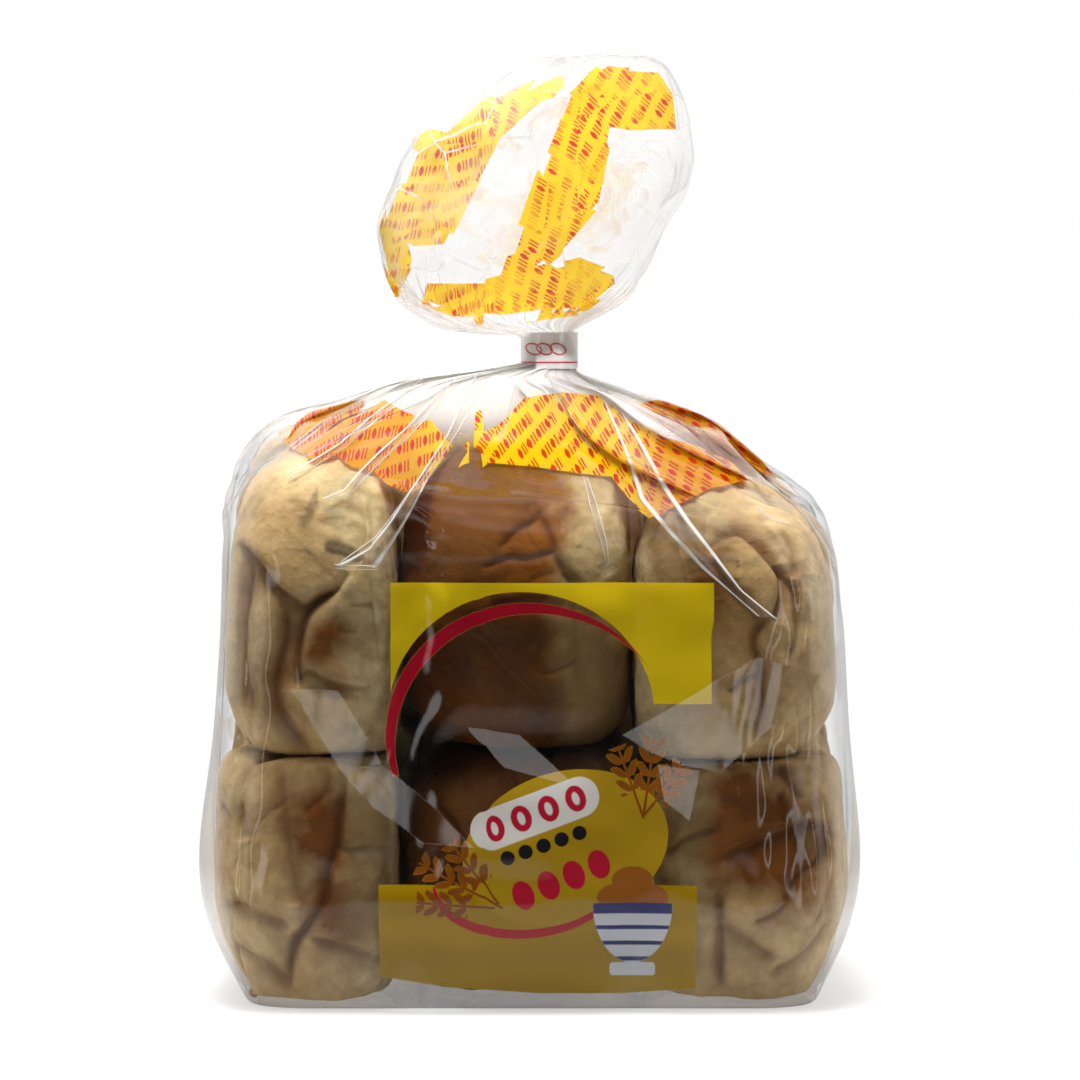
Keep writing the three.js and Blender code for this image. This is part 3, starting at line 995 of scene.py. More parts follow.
def tail_ring(z, turn):
    """One level of the tail: an oval with pleats low down and a few broad waves above."""
    c, s = np.cos(turn), np.sin(turn)
    profiles = (TAIL_LEFT, TAIL_RIGHT, TAIL_DEPTH)
    left, right, deep = (np.interp(z, *np.array(profile, float).T) for profile in profiles)
    up = (z - 164.4) / 69.2
    near = 1 - float(smoothstep(z, 163, 184))
    pleat = np.cos(turn * TAIL_PLEATS + 1.5 * np.sin(3 * turn))
    wave = np.sin(turn * TAIL_WAVES + 4 * up)
    amount = 1 + near * 0.16 * (pleat - 0.55) + 0.045 * (1 - near) * np.sign(wave) * np.abs(wave) ** 1.5
    keep = np.abs(c) ** 8
    amount = amount * (1 - keep) + keep * np.minimum(amount, 1)
    x = (left + right) / 2 + (right - left) / 2 * np.sign(c) * np.abs(c) ** TAIL_ROUNDNESS * amount
    y = deep * np.sign(s) * np.abs(s) ** TAIL_ROUNDNESS * amount
    return np.stack([x, y, np.full_like(x, z)], -1)


def make_tail(material):
    heights = np.concatenate([np.linspace(155.1, 164.4, 4), np.linspace(165.6, 233.6, 44)])
    turn = math.pi / 2 + np.linspace(0, 2 * math.pi, TAIL_COLUMNS, endpoint=False)
    points = np.stack([tail_ring(z, turn) for z in heights])
    drop = np.linalg.norm(np.diff(points, axis=0), axis=2)
    depth = np.concatenate([np.zeros((1, points.shape[1])), np.cumsum(drop, axis=0)])
    film = np.tile(np.linspace(0, CIRCUMFERENCE, TAIL_COLUMNS, endpoint=False), (len(heights), 1))
    held = np.zeros(points.shape[:2], bool)
    held[:TAIL_HELD] = True
    slack = 0.02 + 0.02 * value_noise(points, 17, 25)
    start = 1.0 * value_noise(points, 12, 28)
    points[TAIL_HELD:-1] += (sheet_normals(points) * start[..., None])[TAIL_HELD:-1]
    points[-1, :, 1] *= 0.4
    points = relax(points, held, slack, 50, 0.004, lambda p, free: p)
    around = film * 0.42
    facets = folded_facets(around, depth, 24.0, 5, 41) * 2.0 + folded_facets(around, depth, 9.0, 4, 42) * 0.7
    fade = smoothstep(depth, 6, 26) * (1 - 0.7 * smoothstep(points[..., 2], 222, 233))
    points = points + sheet_normals(points) * (facets * fade)[..., None]
    # the top edge is folded down to its middle line
    closing = points[-1].copy()
    closing[:, 1] = closing[:, 1].mean()
    points = np.concatenate([points, closing[None]])
    film = np.concatenate([film, film[-1:]])
    depth = np.concatenate([depth, depth[-1:] + 1])
    made = film_object("film_tail", points, film, depth, material)
    refine(made)


# ---------------------------------------------------------------- materials


def srgb(r, g, b):
    """A colour given as 0 to 255 on the screen, as the linear values that shaders take."""
    return tuple(((v / 255 + 0.055) / 1.055) ** 2.4 if v > 10 else v / 255 / 12.92 for v in (r, g, b))


class Graph:
    """Short ways to make shader nodes. Every value is a socket or a number."""

    def __init__(self, owner):
        """Takes a new material's name, or a world."""
        self.owner = bpy.data.materials.new(owner) if isinstance(owner, str) else owner
        self.owner.use_nodes = True
        self.tree = self.owner.node_tree
        self.tree.nodes.clear()

    def node(self, kind, **settings):
        made = self.tree.nodes.new(kind)
        for key, value in settings.items():
            setattr(made, key, value)
        return made

    def feed(self, socket, value):
        if isinstance(value, bpy.types.NodeSocket):
            self.tree.links.new(value, socket)
        elif isinstance(value, tuple) and len(value) == 3 and len(socket.default_value) == 4:
            socket.default_value = (*value, 1)
        else:
            socket.default_value = value

    def wired(self, kind, inputs, output=0, **settings):
        """An output of a new node whose inputs, by number or name, take the given values."""
        made = self.node(kind, **settings)
        for key, value in inputs.items():
            self.feed(made.inputs[key], value)
        return made.outputs[output]

    def math(self, operation, *values, clamp=False):
        return self.wired("ShaderNodeMath", dict(enumerate(values)), operation=operation, use_clamp=clamp)

    def add(self, a, b):
        return self.math("ADD", a, b)

    def sub(self, a, b):
        return self.math("SUBTRACT", a, b)

    def mul(self, a, b):
        return self.math("MULTIPLY", a, b)

    def both(self, *values):
        return functools.reduce(lambda a, b: self.math("MINIMUM", a, b), values)

    def either(self, *values):
        return functools.reduce(lambda a, b: self.math("MAXIMUM", a, b), values)

    def invert(self, value):
        return self.math("SUBTRACT", 1.0, value)

    def ramp(self, value, low, high, to_low=0.0, to_high=1.0):
        """Straight from one result to another between two values, and level beyond them."""
        values = (value, low, high, to_low, to_high)
        return self.wired("ShaderNodeMapRange", dict(enumerate(values)), clamp=True)

    def mix(self, share, a, b):
        return self.wired("ShaderNodeMix", {0: share, 6: a, 7: b}, 2, data_type="RGBA")

    def split(self, vector):
        made = self.node("ShaderNodeSeparateXYZ")
        self.tree.links.new(vector, made.inputs[0])
        return made.outputs[0], made.outputs[1], made.outputs[2]

    def uv(self, name):
        return self.split(self.node("ShaderNodeUVMap", uv_map=name).outputs[0])[:2]

    def vector(self, operation, *values):
        return self.wired("ShaderNodeVectorMath", dict(enumerate(values)), operation=operation)

    def scaled(self, vector, amount):
        return self.wired("ShaderNodeVectorMath", {0: vector, "Scale": amount}, operation="SCALE")

    def normal(self):
        return self.node("ShaderNodeNewGeometry").outputs["Normal"]

    def place(self):
        return self.node("ShaderNodeTexCoord").outputs["Object"]

    def texture(self, kind, scale, **settings):
        made = self.node("ShaderNodeTex" + kind, **settings)
        made.inputs["Scale"].default_value = scale
        self.tree.links.new(self.place(), made.inputs["Vector"])
        return made

    def noise(self, scale, detail=3.0, distortion=0.0):
        made = self.texture("Noise", scale)
        made.inputs["Detail"].default_value = detail
        made.inputs["Distortion"].default_value = distortion
        return made.outputs["Fac"]

    def curve(self, value, points):
        """Straight lines through (value, result) points."""
        made = self.node("ShaderNodeFloatCurve")
        low, high = points[0][0], points[-1][0]
        bottom = min(p[1] for p in points)
        top = max(p[1] for p in points)
        line = made.mapping.curves[0]
        while len(line.points) < len(points):
            line.points.new(0.5, 0.5)
        for point, (x, y) in zip(line.points, points):
            point.location = ((x - low) / (high - low), (y - bottom) / (top - bottom))
            point.handle_type = "VECTOR"
        made.mapping.use_clip = False
        made.mapping.update()
        self.feed(made.inputs["Value"], self.ramp(value, low, high))
        return self.ramp(made.outputs[0], 0.0, 1.0, bottom, top)

    def shader(self, kind, **inputs):
        return self.wired("ShaderNode" + kind, inputs)

    def blend(self, share, a, b):
        return self.wired("ShaderNodeMixShader", {0: share, 1: a, 2: b})

    def bump(self, height, strength, distance):
        values = {"Strength": strength, "Distance": distance, "Height": height}
        return self.wired("ShaderNodeBump", values)

    def finish(self, shader):
        kind = "World" if isinstance(self.owner, bpy.types.World) else "Material"
        self.tree.links.new(shader, self.node("ShaderNodeOutput" + kind).inputs["Surface"])
        return self.owner


EDGE = 0.12  # how soft a printed edge is


def inside(g, distance):
    """1 where a distance is under 0, with a slightly soft edge."""
    return g.ramp(distance, EDGE, -EDGE)


def turned(g, x, z, at, degrees):
    """Coordinates measured from a point, along and across a direction."""
    c, s = math.cos(math.radians(degrees)), math.sin(math.radians(degrees))
    dx, dz = g.sub(x, at[0]), g.sub(z, at[1])
    along = g.add(g.mul(dx, c), g.mul(dz, s))
    across = g.sub(g.mul(dz, c), g.mul(dx, s))
    return along, across


def repeated(g, place, pitch):
    """The number of the repeat that a place is in, and how far it is from the repeat's middle."""
    number = g.math("FLOOR", place)
    return number, g.mul(g.sub(g.sub(place, number), 0.5), pitch)


def box(g, x, z, at, half, degrees=0.0, corner=0.0):
    along, across = turned(g, x, z, at, degrees)
    a = g.sub(g.math("ABSOLUTE", along), half[0] - corner)
    b = g.sub(g.math("ABSOLUTE", across), half[1] - corner)
    if corner == 0:
        return inside(g, g.either(a, b))
    a, b = g.either(a, 0.0), g.either(b, 0.0)
    far = g.math("SQRT", g.add(g.mul(a, a), g.mul(b, b)))
    return inside(g, g.sub(far, corner))


def oval(g, x, z, at, half, degrees=0.0):
    along, across = turned(g, x, z, at, degrees)
    a, b = g.math("DIVIDE", along, half[0]), g.math("DIVIDE", across, half[1])
    r = g.math("SQRT", g.add(g.mul(a, a), g.mul(b, b)))
    return inside(g, g.mul(g.sub(r, 1.0), min(half)))


def polygon(g, x, z, corners):
    """1 inside a convex polygon whose corners run clockwise as the shopper sees it."""
    found = None
    for (x0, z0), (x1, z1) in zip(corners, corners[1:] + corners[:1]):
        length = math.hypot(x1 - x0, z1 - z0)
        a, b = -(z1 - z0) / length, (x1 - x0) / length
        reach = g.add(g.add(g.mul(x, a), g.mul(z, b)), -(a * x0 + b * z0))
        found = reach if found is None else g.either(found, reach)
    return inside(g, found)


GRAIN_PITCH, GRAIN_LINE, GRAIN_GROUP = 1.65, 4.3, 9.0  # from mark to mark, row to row, marks in a group
SEED_HALF = (0.6, 1.35)
STROKE_OFF, STROKE_HALF = 0.42, (0.2, 1.25)


def grains(g, along, across):
    """Rows of small slanted marks, seeds and pairs of strokes by turns, set in groups."""
    row = g.math("FLOOR", g.math("DIVIDE", across, GRAIN_LINE))
    v = g.sub(g.sub(across, g.mul(row, GRAIN_LINE)), GRAIN_LINE / 2)
    shifted = g.add(g.add(along, g.mul(v, -0.3)), g.mul(row, GRAIN_PITCH * 2.37))
    number, w = repeated(g, g.math("DIVIDE", shifted, GRAIN_PITCH), GRAIN_PITCH)
    w = g.math("ABSOLUTE", w)
    tall = g.math("ABSOLUTE", v)
    slot = g.math("FLOORED_MODULO", number, GRAIN_GROUP)
    odd = g.math("GREATER_THAN", g.math("FLOORED_MODULO", slot, 2.0), 0.5)
    bow = g.math("DIVIDE", tall, SEED_HALF[1])
    seed = g.sub(g.add(g.math("DIVIDE", w, SEED_HALF[0]), g.mul(bow, bow)), 1.0)
    beside = g.math("ABSOLUTE", g.sub(w, STROKE_OFF))
    stroke = g.either(g.sub(beside, STROKE_HALF[0]), g.sub(tall, STROKE_HALF[1]))
    shape = g.add(g.mul(g.mul(seed, 0.6), odd), g.mul(stroke, g.invert(odd)))
    return g.mul(inside(g, shape), g.math("GREATER_THAN", slot, 0.5))


YELLOW, ORANGE, BAND_RED = srgb(246, 200, 12), srgb(224, 148, 12), srgb(204, 44, 14)
PRINT_RED, PRINT_BLUE, GRAIN_BROWN = srgb(198, 32, 56), srgb(45, 48, 120), srgb(148, 82, 24)
WHITE = (1.0, 1.0, 1.0)
CLEAR = (0.975, 0.972, 0.968)
MILKY = (0.93, 0.92, 0.9)
INK_COVER, FILM_IOR = 0.95, 1.5

# Millimetres to a step of the picture's grid, on the front of the bag and on the tail's two sides
FRONT_SCALE, TAIL_FRONT, TAIL_BACK = 0.2425, 0.252, 0.258


def px(points, scale):
    """Corners of a printed shape, from the picture's grid to millimetres on the bag."""
    return [((x - 532) * scale, 170 - (y - 313) * scale) for x, y in points]


# Flat folded patches of the film, turned a little to one side: corners, turn to the right
FLAT_PATCHES = [
    ([(291, 688), (339, 690), (383, 764), (341, 770)], -0.49),
    ([(341, 770), (384, 765), (440, 812), (474, 846), (424, 842), (372, 806)], -0.49),
    (
        [(452, 680), (470, 690), (520, 735), (600, 748), (640, 770), (560, 782), (505, 768), (470, 732)],
        -0.49,
    ),
    ([(757, 656), (826, 678), (786, 714), (727, 772), (680, 765)], 0.49),
    ([(623, 735), (757, 657), (680, 764), (650, 752)], 0.49),
    ([(658, 765), (700, 770), (690, 820), (664, 800)], 0.49),
]
FLAT_PATCHES_ABOVE = [([(316, 481), (318, 497), (306, 515), (296, 514)], -0.49)]


def turned_patches(g, normal, x, z, patches):
    """A normal, set to that of a flat facet in the flat patches."""
    for corners, turn in patches:
        inside_it = polygon(g, x, z, px(corners, FRONT_SCALE))
        normal = g.vector("ADD", normal, g.scaled((turn, -1.0, 0.06), g.mul(inside_it, 3.0)))
    return g.vector("NORMALIZE", normal)


def matt(g, color, through):
    """A matt layer that lets a share of the light through."""
    layer = g.shader("BsdfDiffuse", Color=color)
    return g.blend(through, layer, g.shader("BsdfTranslucent", Color=color))


def clear_film(g, print_mask, print_color, normal, tint, haze, through=0.5, rolled_highlight=0.0, gloss=1.25):
    """Clear glossy film, printed where the mask is 1."""
    backface = g.node("ShaderNodeNewGeometry").outputs["Backfacing"]
    fresnel = g.shader("Fresnel", IOR=g.ramp(backface, 0.0, 1.0, FILM_IOR, 1 / FILM_IOR), Normal=normal)
    # a painted highlight can raise the mirrored share, as on the tucks' rolled edges
    shine = g.either(g.math("MULTIPLY", fresnel, gloss, clamp=True), rolled_highlight)
    body = g.blend(haze, g.shader("BsdfTransparent", Color=tint), matt(g, MILKY, 0.3))
    body = g.blend(g.mul(print_mask, INK_COVER), body, matt(g, print_color, through))
    return g.blend(shine, body, g.shader("BsdfGlossy", Roughness=0.07, Normal=normal))


# Edges of the printed band on the shoulders. On the left its pieces are cut along the tucks.
BAND_TOP = [
    (-70, 120), (-64, 120), (-63.5, 138.5), (-60.5, 145), (-51, 147.6), (-47.6, 147.6), (-47.4, 143),
    (-43.5, 148.1), (-38, 146), (-32.3, 144.2), (-32, 141), (-28, 143.5), (-20.7, 139), (-17.2, 137),
    (-17, 125), (-14.6, 125), (-14.4, 145), (-12.6, 146), (-12.4, 140), (-8.4, 142), (-1.7, 148.7),
    (7.7, 150), (16.9, 149), (24.8, 143), (33, 138.8), (41.4, 136.8), (50.8, 132), (53.3, 128.8),
    (70, 118),
]
BAND_BOTTOM = [
    (-70, 134), (-63.6, 138), (-60, 137), (-51, 134.8), (-47.5, 133.3), (-43.8, 134.7), (-37.9, 132),
    (-32.2, 131), (-26, 128), (-19, 125.9), (-17.1, 128), (-16.9, 130), (-14.6, 137), (-12.6, 136),
    (-12.4, 131.6), (-10.7, 133), (1, 132), (10.7, 130.6), (19.6, 129.6), (23.3, 124.9), (28.8, 119.9),
    (35.2, 122.6), (43.9, 126.8), (52.3, 128.3), (70, 130),
]
BACK_TOP = [
    (-70, 126), (-60, 139), (-44, 146), (-43.8, 140), (-24, 147), (-23.8, 143), (-6, 150), (12, 149),
    (12.2, 144), (34, 148), (46, 143), (56, 136), (70, 118),
]
BACK_BOTTOM = [
    (-70, 128), (-60, 126), (-44, 124), (-43.8, 128), (-24, 124), (-23.8, 130), (-6, 128), (12, 132),
    (12.2, 126), (34, 130), (46, 134), (56, 130.5), (70, 124),
]


def tilted(g, s, x, z, tilts):
    """Coordinates along and across rows whose tilt changes in steps: (up to this place, degrees)."""
    angle = tilts[-1][1]
    for (place, degrees), (_, following) in zip(tilts[-2::-1], tilts[:0:-1]):
        angle = g.add(g.mul(g.math("LESS_THAN", s, place), degrees - following), angle)
    angle = g.math("RADIANS", angle)
    cos, sin = g.math("COSINE", angle), g.math("SINE", angle)
    along = g.add(g.mul(x, cos), g.mul(z, sin))
    across = g.sub(g.mul(z, cos), g.mul(x, sin))
    return along, across


# How the rows of grains tilt on the shoulders and on the tail: up to this place, degrees
BAND_TILTS = [(-47.5, 30), (-32, 8), (-17, 18), (-9, 62), (29, 48), (70, 76)]
TAIL_TILTS = [(-24, 4), (-10, 22), (12, 76), (42, 64)]


def between(g, x, z, top, bottom):
    """1 between two edges that are given as (x, z) points."""
    return g.both(inside(g, g.sub(z, g.curve(x, top))), inside(g, g.sub(g.curve(x, bottom), z)))


def on_side(g, front, behind, side):
    """One mask on the side that faces the shopper, and another behind."""
    return g.add(g.mul(front, g.invert(side)), g.mul(behind, side))


def shoulder_band(g, x, z, side):
    """The band and its rows of grains: masks for the yellow and the red."""
    left = g.math("LESS_THAN", x, -15.5)
    s = g.add(x, g.mul(g.mul(g.sub(140.0, z), 0.76), left))
    front = between(g, s, z, BAND_TOP, BAND_BOTTOM)
    yellow = on_side(g, front, between(g, x, z, BACK_TOP, BACK_BOTTOM), side)
    return yellow, g.mul(grains(g, *tilted(g, s, x, z, BAND_TILTS)), yellow)


def row_of(g, x, z, at, degrees, count, spacing, half):
    """A row of ovals along a slanted line."""
    along, across = turned(g, x, z, at, degrees)
    shift = (count % 2) * 0.5
    _, w = repeated(g, g.add(g.math("DIVIDE", along, spacing), shift), spacing)
    shown = g.math("LESS_THAN", g.math("ABSOLUTE", along), spacing * count / 2)
    return g.mul(oval(g, w, across, (0, 0), half), shown)


def wheat(g, x, z, at, degrees, length=20.0, pitch=3.4):
    """An ear of wheat: pairs of slanted grains up a stem that starts at a point."""
    along, across = turned(g, x, z, at, degrees)
    _, w = repeated(g, g.math("DIVIDE", along, pitch), pitch)
    apart = g.math("ABSOLUTE", across)
    grain = oval(g, w, apart, (0.0, 1.7), (2.3, 0.85), 38.0)
    below_tip = g.math("LESS_THAN", along, length)
    ear = g.both(grain, g.math("GREATER_THAN", along, 0.34 * length), below_tip)
    stem = g.both(g.math("LESS_THAN", apart, 0.3), g.math("GREATER_THAN", along, 0.0), below_tip)
    return g.either(ear, stem)


# The front's print: foot of each ear of wheat, its direction and length, and the rolls in the bowl
EARS = [
    ((27, 47.5), 82, 20), ((27, 48), 110, 18), ((27, 48), 52, 16),
    ((-7, 26), 152, 23), ((-8, 27), 128, 19), ((-9, 26), 176, 19),
]
ROLLS = [((20.5, 28.5), (4.6, 3.2)), ((28.5, 28.5), (4.6, 3.2)), ((24.5, 32.5), (5.0, 3.4))]
LOWER_FIELD = [(-37, 31.6), (40, 31.4), (40, 5.6), (22, 4.4), (2, 4.2), (-20, 5.8), (-37, 8.5)]


def crescent(g, outer, inner):
    return g.both(outer, g.invert(inner))


def label(g, x, z):
    """The printed front: yellow fields round a clear arched window, an oval badge and a bowl."""
    upper = crescent(g, box(g, x, z, (5.0, 90.0), (39.2, 14.7)), oval(g, x, z, (-2.5, 72.5), (32.2, 30.0)))
    arc = crescent(g, oval(g, x, z, (-1.2, 67.7), (34.2, 32.2)), oval(g, x, z, (0.9, 65.2), (34.0, 32.0)))
    smile = crescent(
        g, oval(g, x, z, (-1.0, 32.5), (23.0, 14.2), 6), oval(g, x, z, (-0.5, 35.4), (23.4, 14.8), 6)
    )
    ears = g.either(*(wheat(g, x, z, *ear) for ear in EARS))
    rolls = g.either(*(oval(g, x, z, *roll) for roll in ROLLS))
    bowl = g.both(oval(g, x, z, (24.5, 27.0), (9.6, 15.0)), g.ramp(z, 27.0, 26.8))
    hoops = g.both(bowl, row_of(g, x, z, (24.5, 17.0), 90, 5, 4.0, (0.55, 20.0)))
    foot = box(g, x, z, (24.5, 10.5), (5.5, 1.6), 0, 0.8)
    return [  # (mask, colour) from the bottom up
        (upper, srgb(246, 214, 26)),
        # the lower field is printed darker than the upper one as painted shade of the dim lower front
        (polygon(g, x, z, LOWER_FIELD), srgb(180, 142, 10)),
        (g.both(arc, g.ramp(z, 57.5, 58.0)), srgb(190, 22, 48)),
        (oval(g, x, z, (8.2, 40.5), (25.3, 18.3), 16), srgb(190, 152, 30)),
        (g.both(smile, g.ramp(z, 31.5, 31.0)), srgb(190, 30, 40)),
        (box(g, x, z, (0.8, 48.9), (16.3, 4.9), 20, 4.8), srgb(240, 236, 228)),
        (row_of(g, x, z, (0.8, 48.9), 20, 4, 7.0, (2.5, 3.2)), PRINT_RED),
        (row_of(g, x, z, (0.8, 48.9), 20, 4, 7.0, (0.9, 1.6)), srgb(240, 236, 228)),
        (row_of(g, x, z, (2.9, 41.2), 19, 5, 4.6, (1.75, 1.75)), srgb(36, 34, 40)),
        (row_of(g, x, z, (7.2, 32.8), 22, 4, 6.6, (2.6, 3.6)), PRINT_RED),
        (ears, GRAIN_BROWN),
        (rolls, srgb(166, 98, 38)),
        (g.either(bowl, foot), srgb(225, 228, 236)),
        (g.either(hoops, box(g, x, z, (24.5, 26.2), (9.6, 0.9), 0, 0.5)), PRINT_BLUE),
    ]


def facet_colors(g, scale):
    """A colour for each flat facet of crumpled film."""
    return g.texture("Voronoi", scale).outputs["Color"]


def facet_normal(g, facet, tilt):
    """The film's normal, turned a little from facet to facet."""
    turn = g.vector("MULTIPLY", g.vector("SUBTRACT", facet, (0.5, 0.5, 0.5)), (tilt, tilt, tilt))
    return g.vector("NORMALIZE", g.vector("ADD", g.normal(), turn))


def facet_crease_highlights(g, scale):
    """1 on some of the creases between the facets, where the tail is painted with milky white lines as
    painted highlights.
    """
    apart = g.texture("Voronoi", scale, feature="DISTANCE_TO_EDGE").outputs["Distance"]
    return g.mul(g.ramp(apart, 0.035, 0.0), g.ramp(g.noise(0.5 * scale, 2.0), 0.42, 0.6))


def film_haze(g, low, high):
    return g.ramp(g.noise(35.0, 2.0), 0.35, 0.7, low, high)


def film_graph(name):
    """A film's graph, its (x, z) as the shopper sees it, and 1 behind."""
    g = Graph(name)
    return g, *g.uv("face"), g.uv("side")[0]


def make_plain_film():
    """The film of the sides and the back, with two plain yellow fields behind."""
    g, x, z, side = film_graph("film")
    fields = g.either(box(g, x, z, (2, 82), (38, 23)), box(g, x, z, (2, 19), (38, 13.5)))
    haze = film_haze(g, 0.01, 0.04)
    return g.finish(clear_film(g, g.mul(fields, side), srgb(243, 208, 16), g.normal(), CLEAR, haze, 0.3))


def make_band_film():
    """The film of the shoulders and the neck, with the printed band, whose ends lie doubled."""
    g, x, z, side = film_graph("film_band")
    yellow, red = shoulder_band(g, x, z, side)
    normal = facet_normal(g, facet_colors(g, 60.0), 0.1)
    normal = turned_patches(g, normal, x, z, FLAT_PATCHES_ABOVE)
    # milky film towards the neck, partly the gathered film's own haze and partly painted light of the
    # brightly lit top
    neck = g.add(g.ramp(z, 136.0, 146.0, 0.0, 0.6), g.ramp(z, 146.0, 153.0, 0.0, 0.25))
    haze = g.add(film_haze(g, 0.002, 0.012), neck)
    doubled = g.either(g.ramp(x, -22.0, -30.0), g.ramp(x, 24.0, 32.0))
    color = g.mix(red, g.mix(g.mul(doubled, 0.8), YELLOW, ORANGE), BAND_RED)
    return g.finish(clear_film(g, yellow, color, normal, CLEAR, haze, 0.5))


def make_front_film():
    """The film before the buns, with the printed label."""
    g, x, z, _ = film_graph("film_front")
    mask, color = 0.0, YELLOW
    for shape, shade in label(g, x, z):
        color = g.mix(shape, color, shade)
        mask = g.either(mask, shape)
    normal = turned_patches(g, g.normal(), x, z, FLAT_PATCHES)
    return g.finish(clear_film(g, mask, color, normal, CLEAR, film_haze(g, 0.002, 0.01), 0.25))


# The print on the tail: convex pieces on the side that faces the shopper, and behind
TAIL_PRINT = [
    [
        (505, 279), (546, 163), (571, 99), (596, 72), (612, 65), (627, 70), (612, 145), (600, 205),
        (559, 253), (524, 282),
    ],
    [(606, 66), (657, 68), (676, 99), (679, 134), (635, 135), (606, 130)],
    [(421, 311), (427, 282), (503, 282), (540, 290), (503, 321), (479, 319), (458, 311)],
    [(480, 284), (575, 260), (618, 276), (619, 286), (586, 309), (503, 321), (479, 319)],
]
TAIL_PRINT_BEHIND = [
    [(384, 224), (420, 137), (501, 142), (448, 246), (418, 248)],
    [(384, 224), (425, 243), (417, 262), (424, 288), (397, 296)],
    [(420, 138), (458, 120), (522, 76), (528, 71), (563, 74), (563, 84), (544, 101), (500, 143)],
]


TAIL_CRUMPLE = 75.0  # the scale of its facets
TAIL_SHIFT = 3.2  # how far the print is out of line from facet to facet


def printed(g, x, z, pieces, scale):
    return g.either(*(polygon(g, x, z, px(corners, scale)) for corners in pieces))


def make_tail_material():
    """Crumpled film with the worn print of the band, which shows through from behind in streaks, and painted
    highlights as milky white lines on its creases.
    """
    g, x, z, side = film_graph("film_tail")
    facet = facet_colors(g, TAIL_CRUMPLE)
    across, up, _ = g.split(facet)
    x = g.add(x, g.mul(g.sub(across, 0.5), TAIL_SHIFT))
    z = g.add(z, g.mul(g.sub(up, 0.5), TAIL_SHIFT))
    front = g.mul(printed(g, x, z, TAIL_PRINT, TAIL_FRONT), g.invert(side))
    behind = g.mul(printed(g, x, z, TAIL_PRINT_BEHIND, TAIL_BACK), side)
    streak = g.ramp(g.noise(60.0, 4.0, 1.5), 0.5, 0.62, 0.0, 0.3)
    ghost = g.mul(streak, g.both(oval(g, x, z, (4, 203), (27, 23), 20), side))
    worn = g.ramp(g.noise(90.0, 3.0, 1.0), 0.4, 0.62, 1.0, 0.25)
    red = g.mul(grains(g, *tilted(g, x, x, z, TAIL_TILTS)), worn)
    color = g.mix(red, srgb(240, 202, 22), BAND_RED)
    cloudy = g.ramp(g.noise(70.0, 3.0, 0.6), 0.35, 0.7, 0.02, 0.16)
    # milky white lines on the creases are painted highlights
    haze = g.either(cloudy, g.mul(facet_crease_highlights(g, TAIL_CRUMPLE), 0.6))
    yellow = g.either(front, behind, ghost)
    normal = facet_normal(g, facet, 0.7)
    return g.finish(clear_film(g, yellow, color, normal, (0.985, 0.98, 0.978), haze, 0.65, gloss=0.6))


def make_tuck_material():
    """Clear film rolled over at a tuck's edges, painted milky white and made more mirroring there as painted
    highlights.
    """
    g = Graph("film_tucks")
    across, _ = g.uv("across")
    edge = g.math("ABSOLUTE", g.sub(across, 0.5))
    rolled_highlight = g.mul(g.ramp(edge, 0.3, 0.38), g.ramp(edge, 0.5, 0.46))
    normal = g.bump(g.noise(200.0, 2.0), 0.15, 0.0003)
    # the rolled edges are painted milky white as painted highlights
    haze = g.add(0.02, g.mul(rolled_highlight, 0.8))
    return g.finish(clear_film(g, 0.0, WHITE, normal, WHITE, haze, rolled_highlight=g.mul(rolled_highlight, 0.2)))


def crust_color(g, tone_and_light, raised, crease, cloudy):
    """Pale to dark brown by the tone, with painted highlights where it stands out and painted shade where it
    lies low and in the creases.
    """
    blotch = g.ramp(g.noise(45.0, 3.0, 0.4), 0.35, 0.65)
    light = g.mix(blotch, srgb(222, 194, 142), srgb(196, 162, 106))
    dark = g.mix(blotch, srgb(127, 73, 19), srgb(84, 46, 10))
    shade = g.ramp(g.add(tone_and_light, g.mul(g.sub(cloudy, 0.5), 0.9)), 0.3, 1.05)
    color = g.mix(shade, light, dark)
    # towards near black where the tone is highest: painted shadow, as on the lower middle bun under the
    # upper middle one
    color = g.mix(g.ramp(tone_and_light, 1.25, 1.8, 0.0, 0.7), color, srgb(56, 32, 12))
    # painted highlight: lighter where the crust stands out, less so on dark crust
    lit = g.mul(g.ramp(raised, 0.45, 0.9, 0.0, 0.3), g.ramp(shade, 0.3, 1.0, 1.0, 0.25))
    color = g.mix(lit, color, srgb(226, 190, 132))
    # painted shade: darker and warmer where the crust lies low
    color = g.mix(g.ramp(raised, 0.4, 0.0, 0.0, 0.45), color, srgb(140, 88, 40))
    # painted shade: darker in the creases and folds
    return g.mix(g.mul(crease, 0.7), color, srgb(92, 52, 22))


def torn_color(g, tone_and_light):
    """The pale side that was torn from the next bun, darkened by a high tone as painted shade."""
    color = g.mix(g.ramp(g.noise(260.0, 4.0), 0.3, 0.7), srgb(212, 190, 144), srgb(176, 152, 104))
    # painted shade: the pale side darkens with the tone
    return g.mix(g.ramp(tone_and_light, 0.5, 1.2, 0.0, 0.85), color, srgb(128, 98, 56))


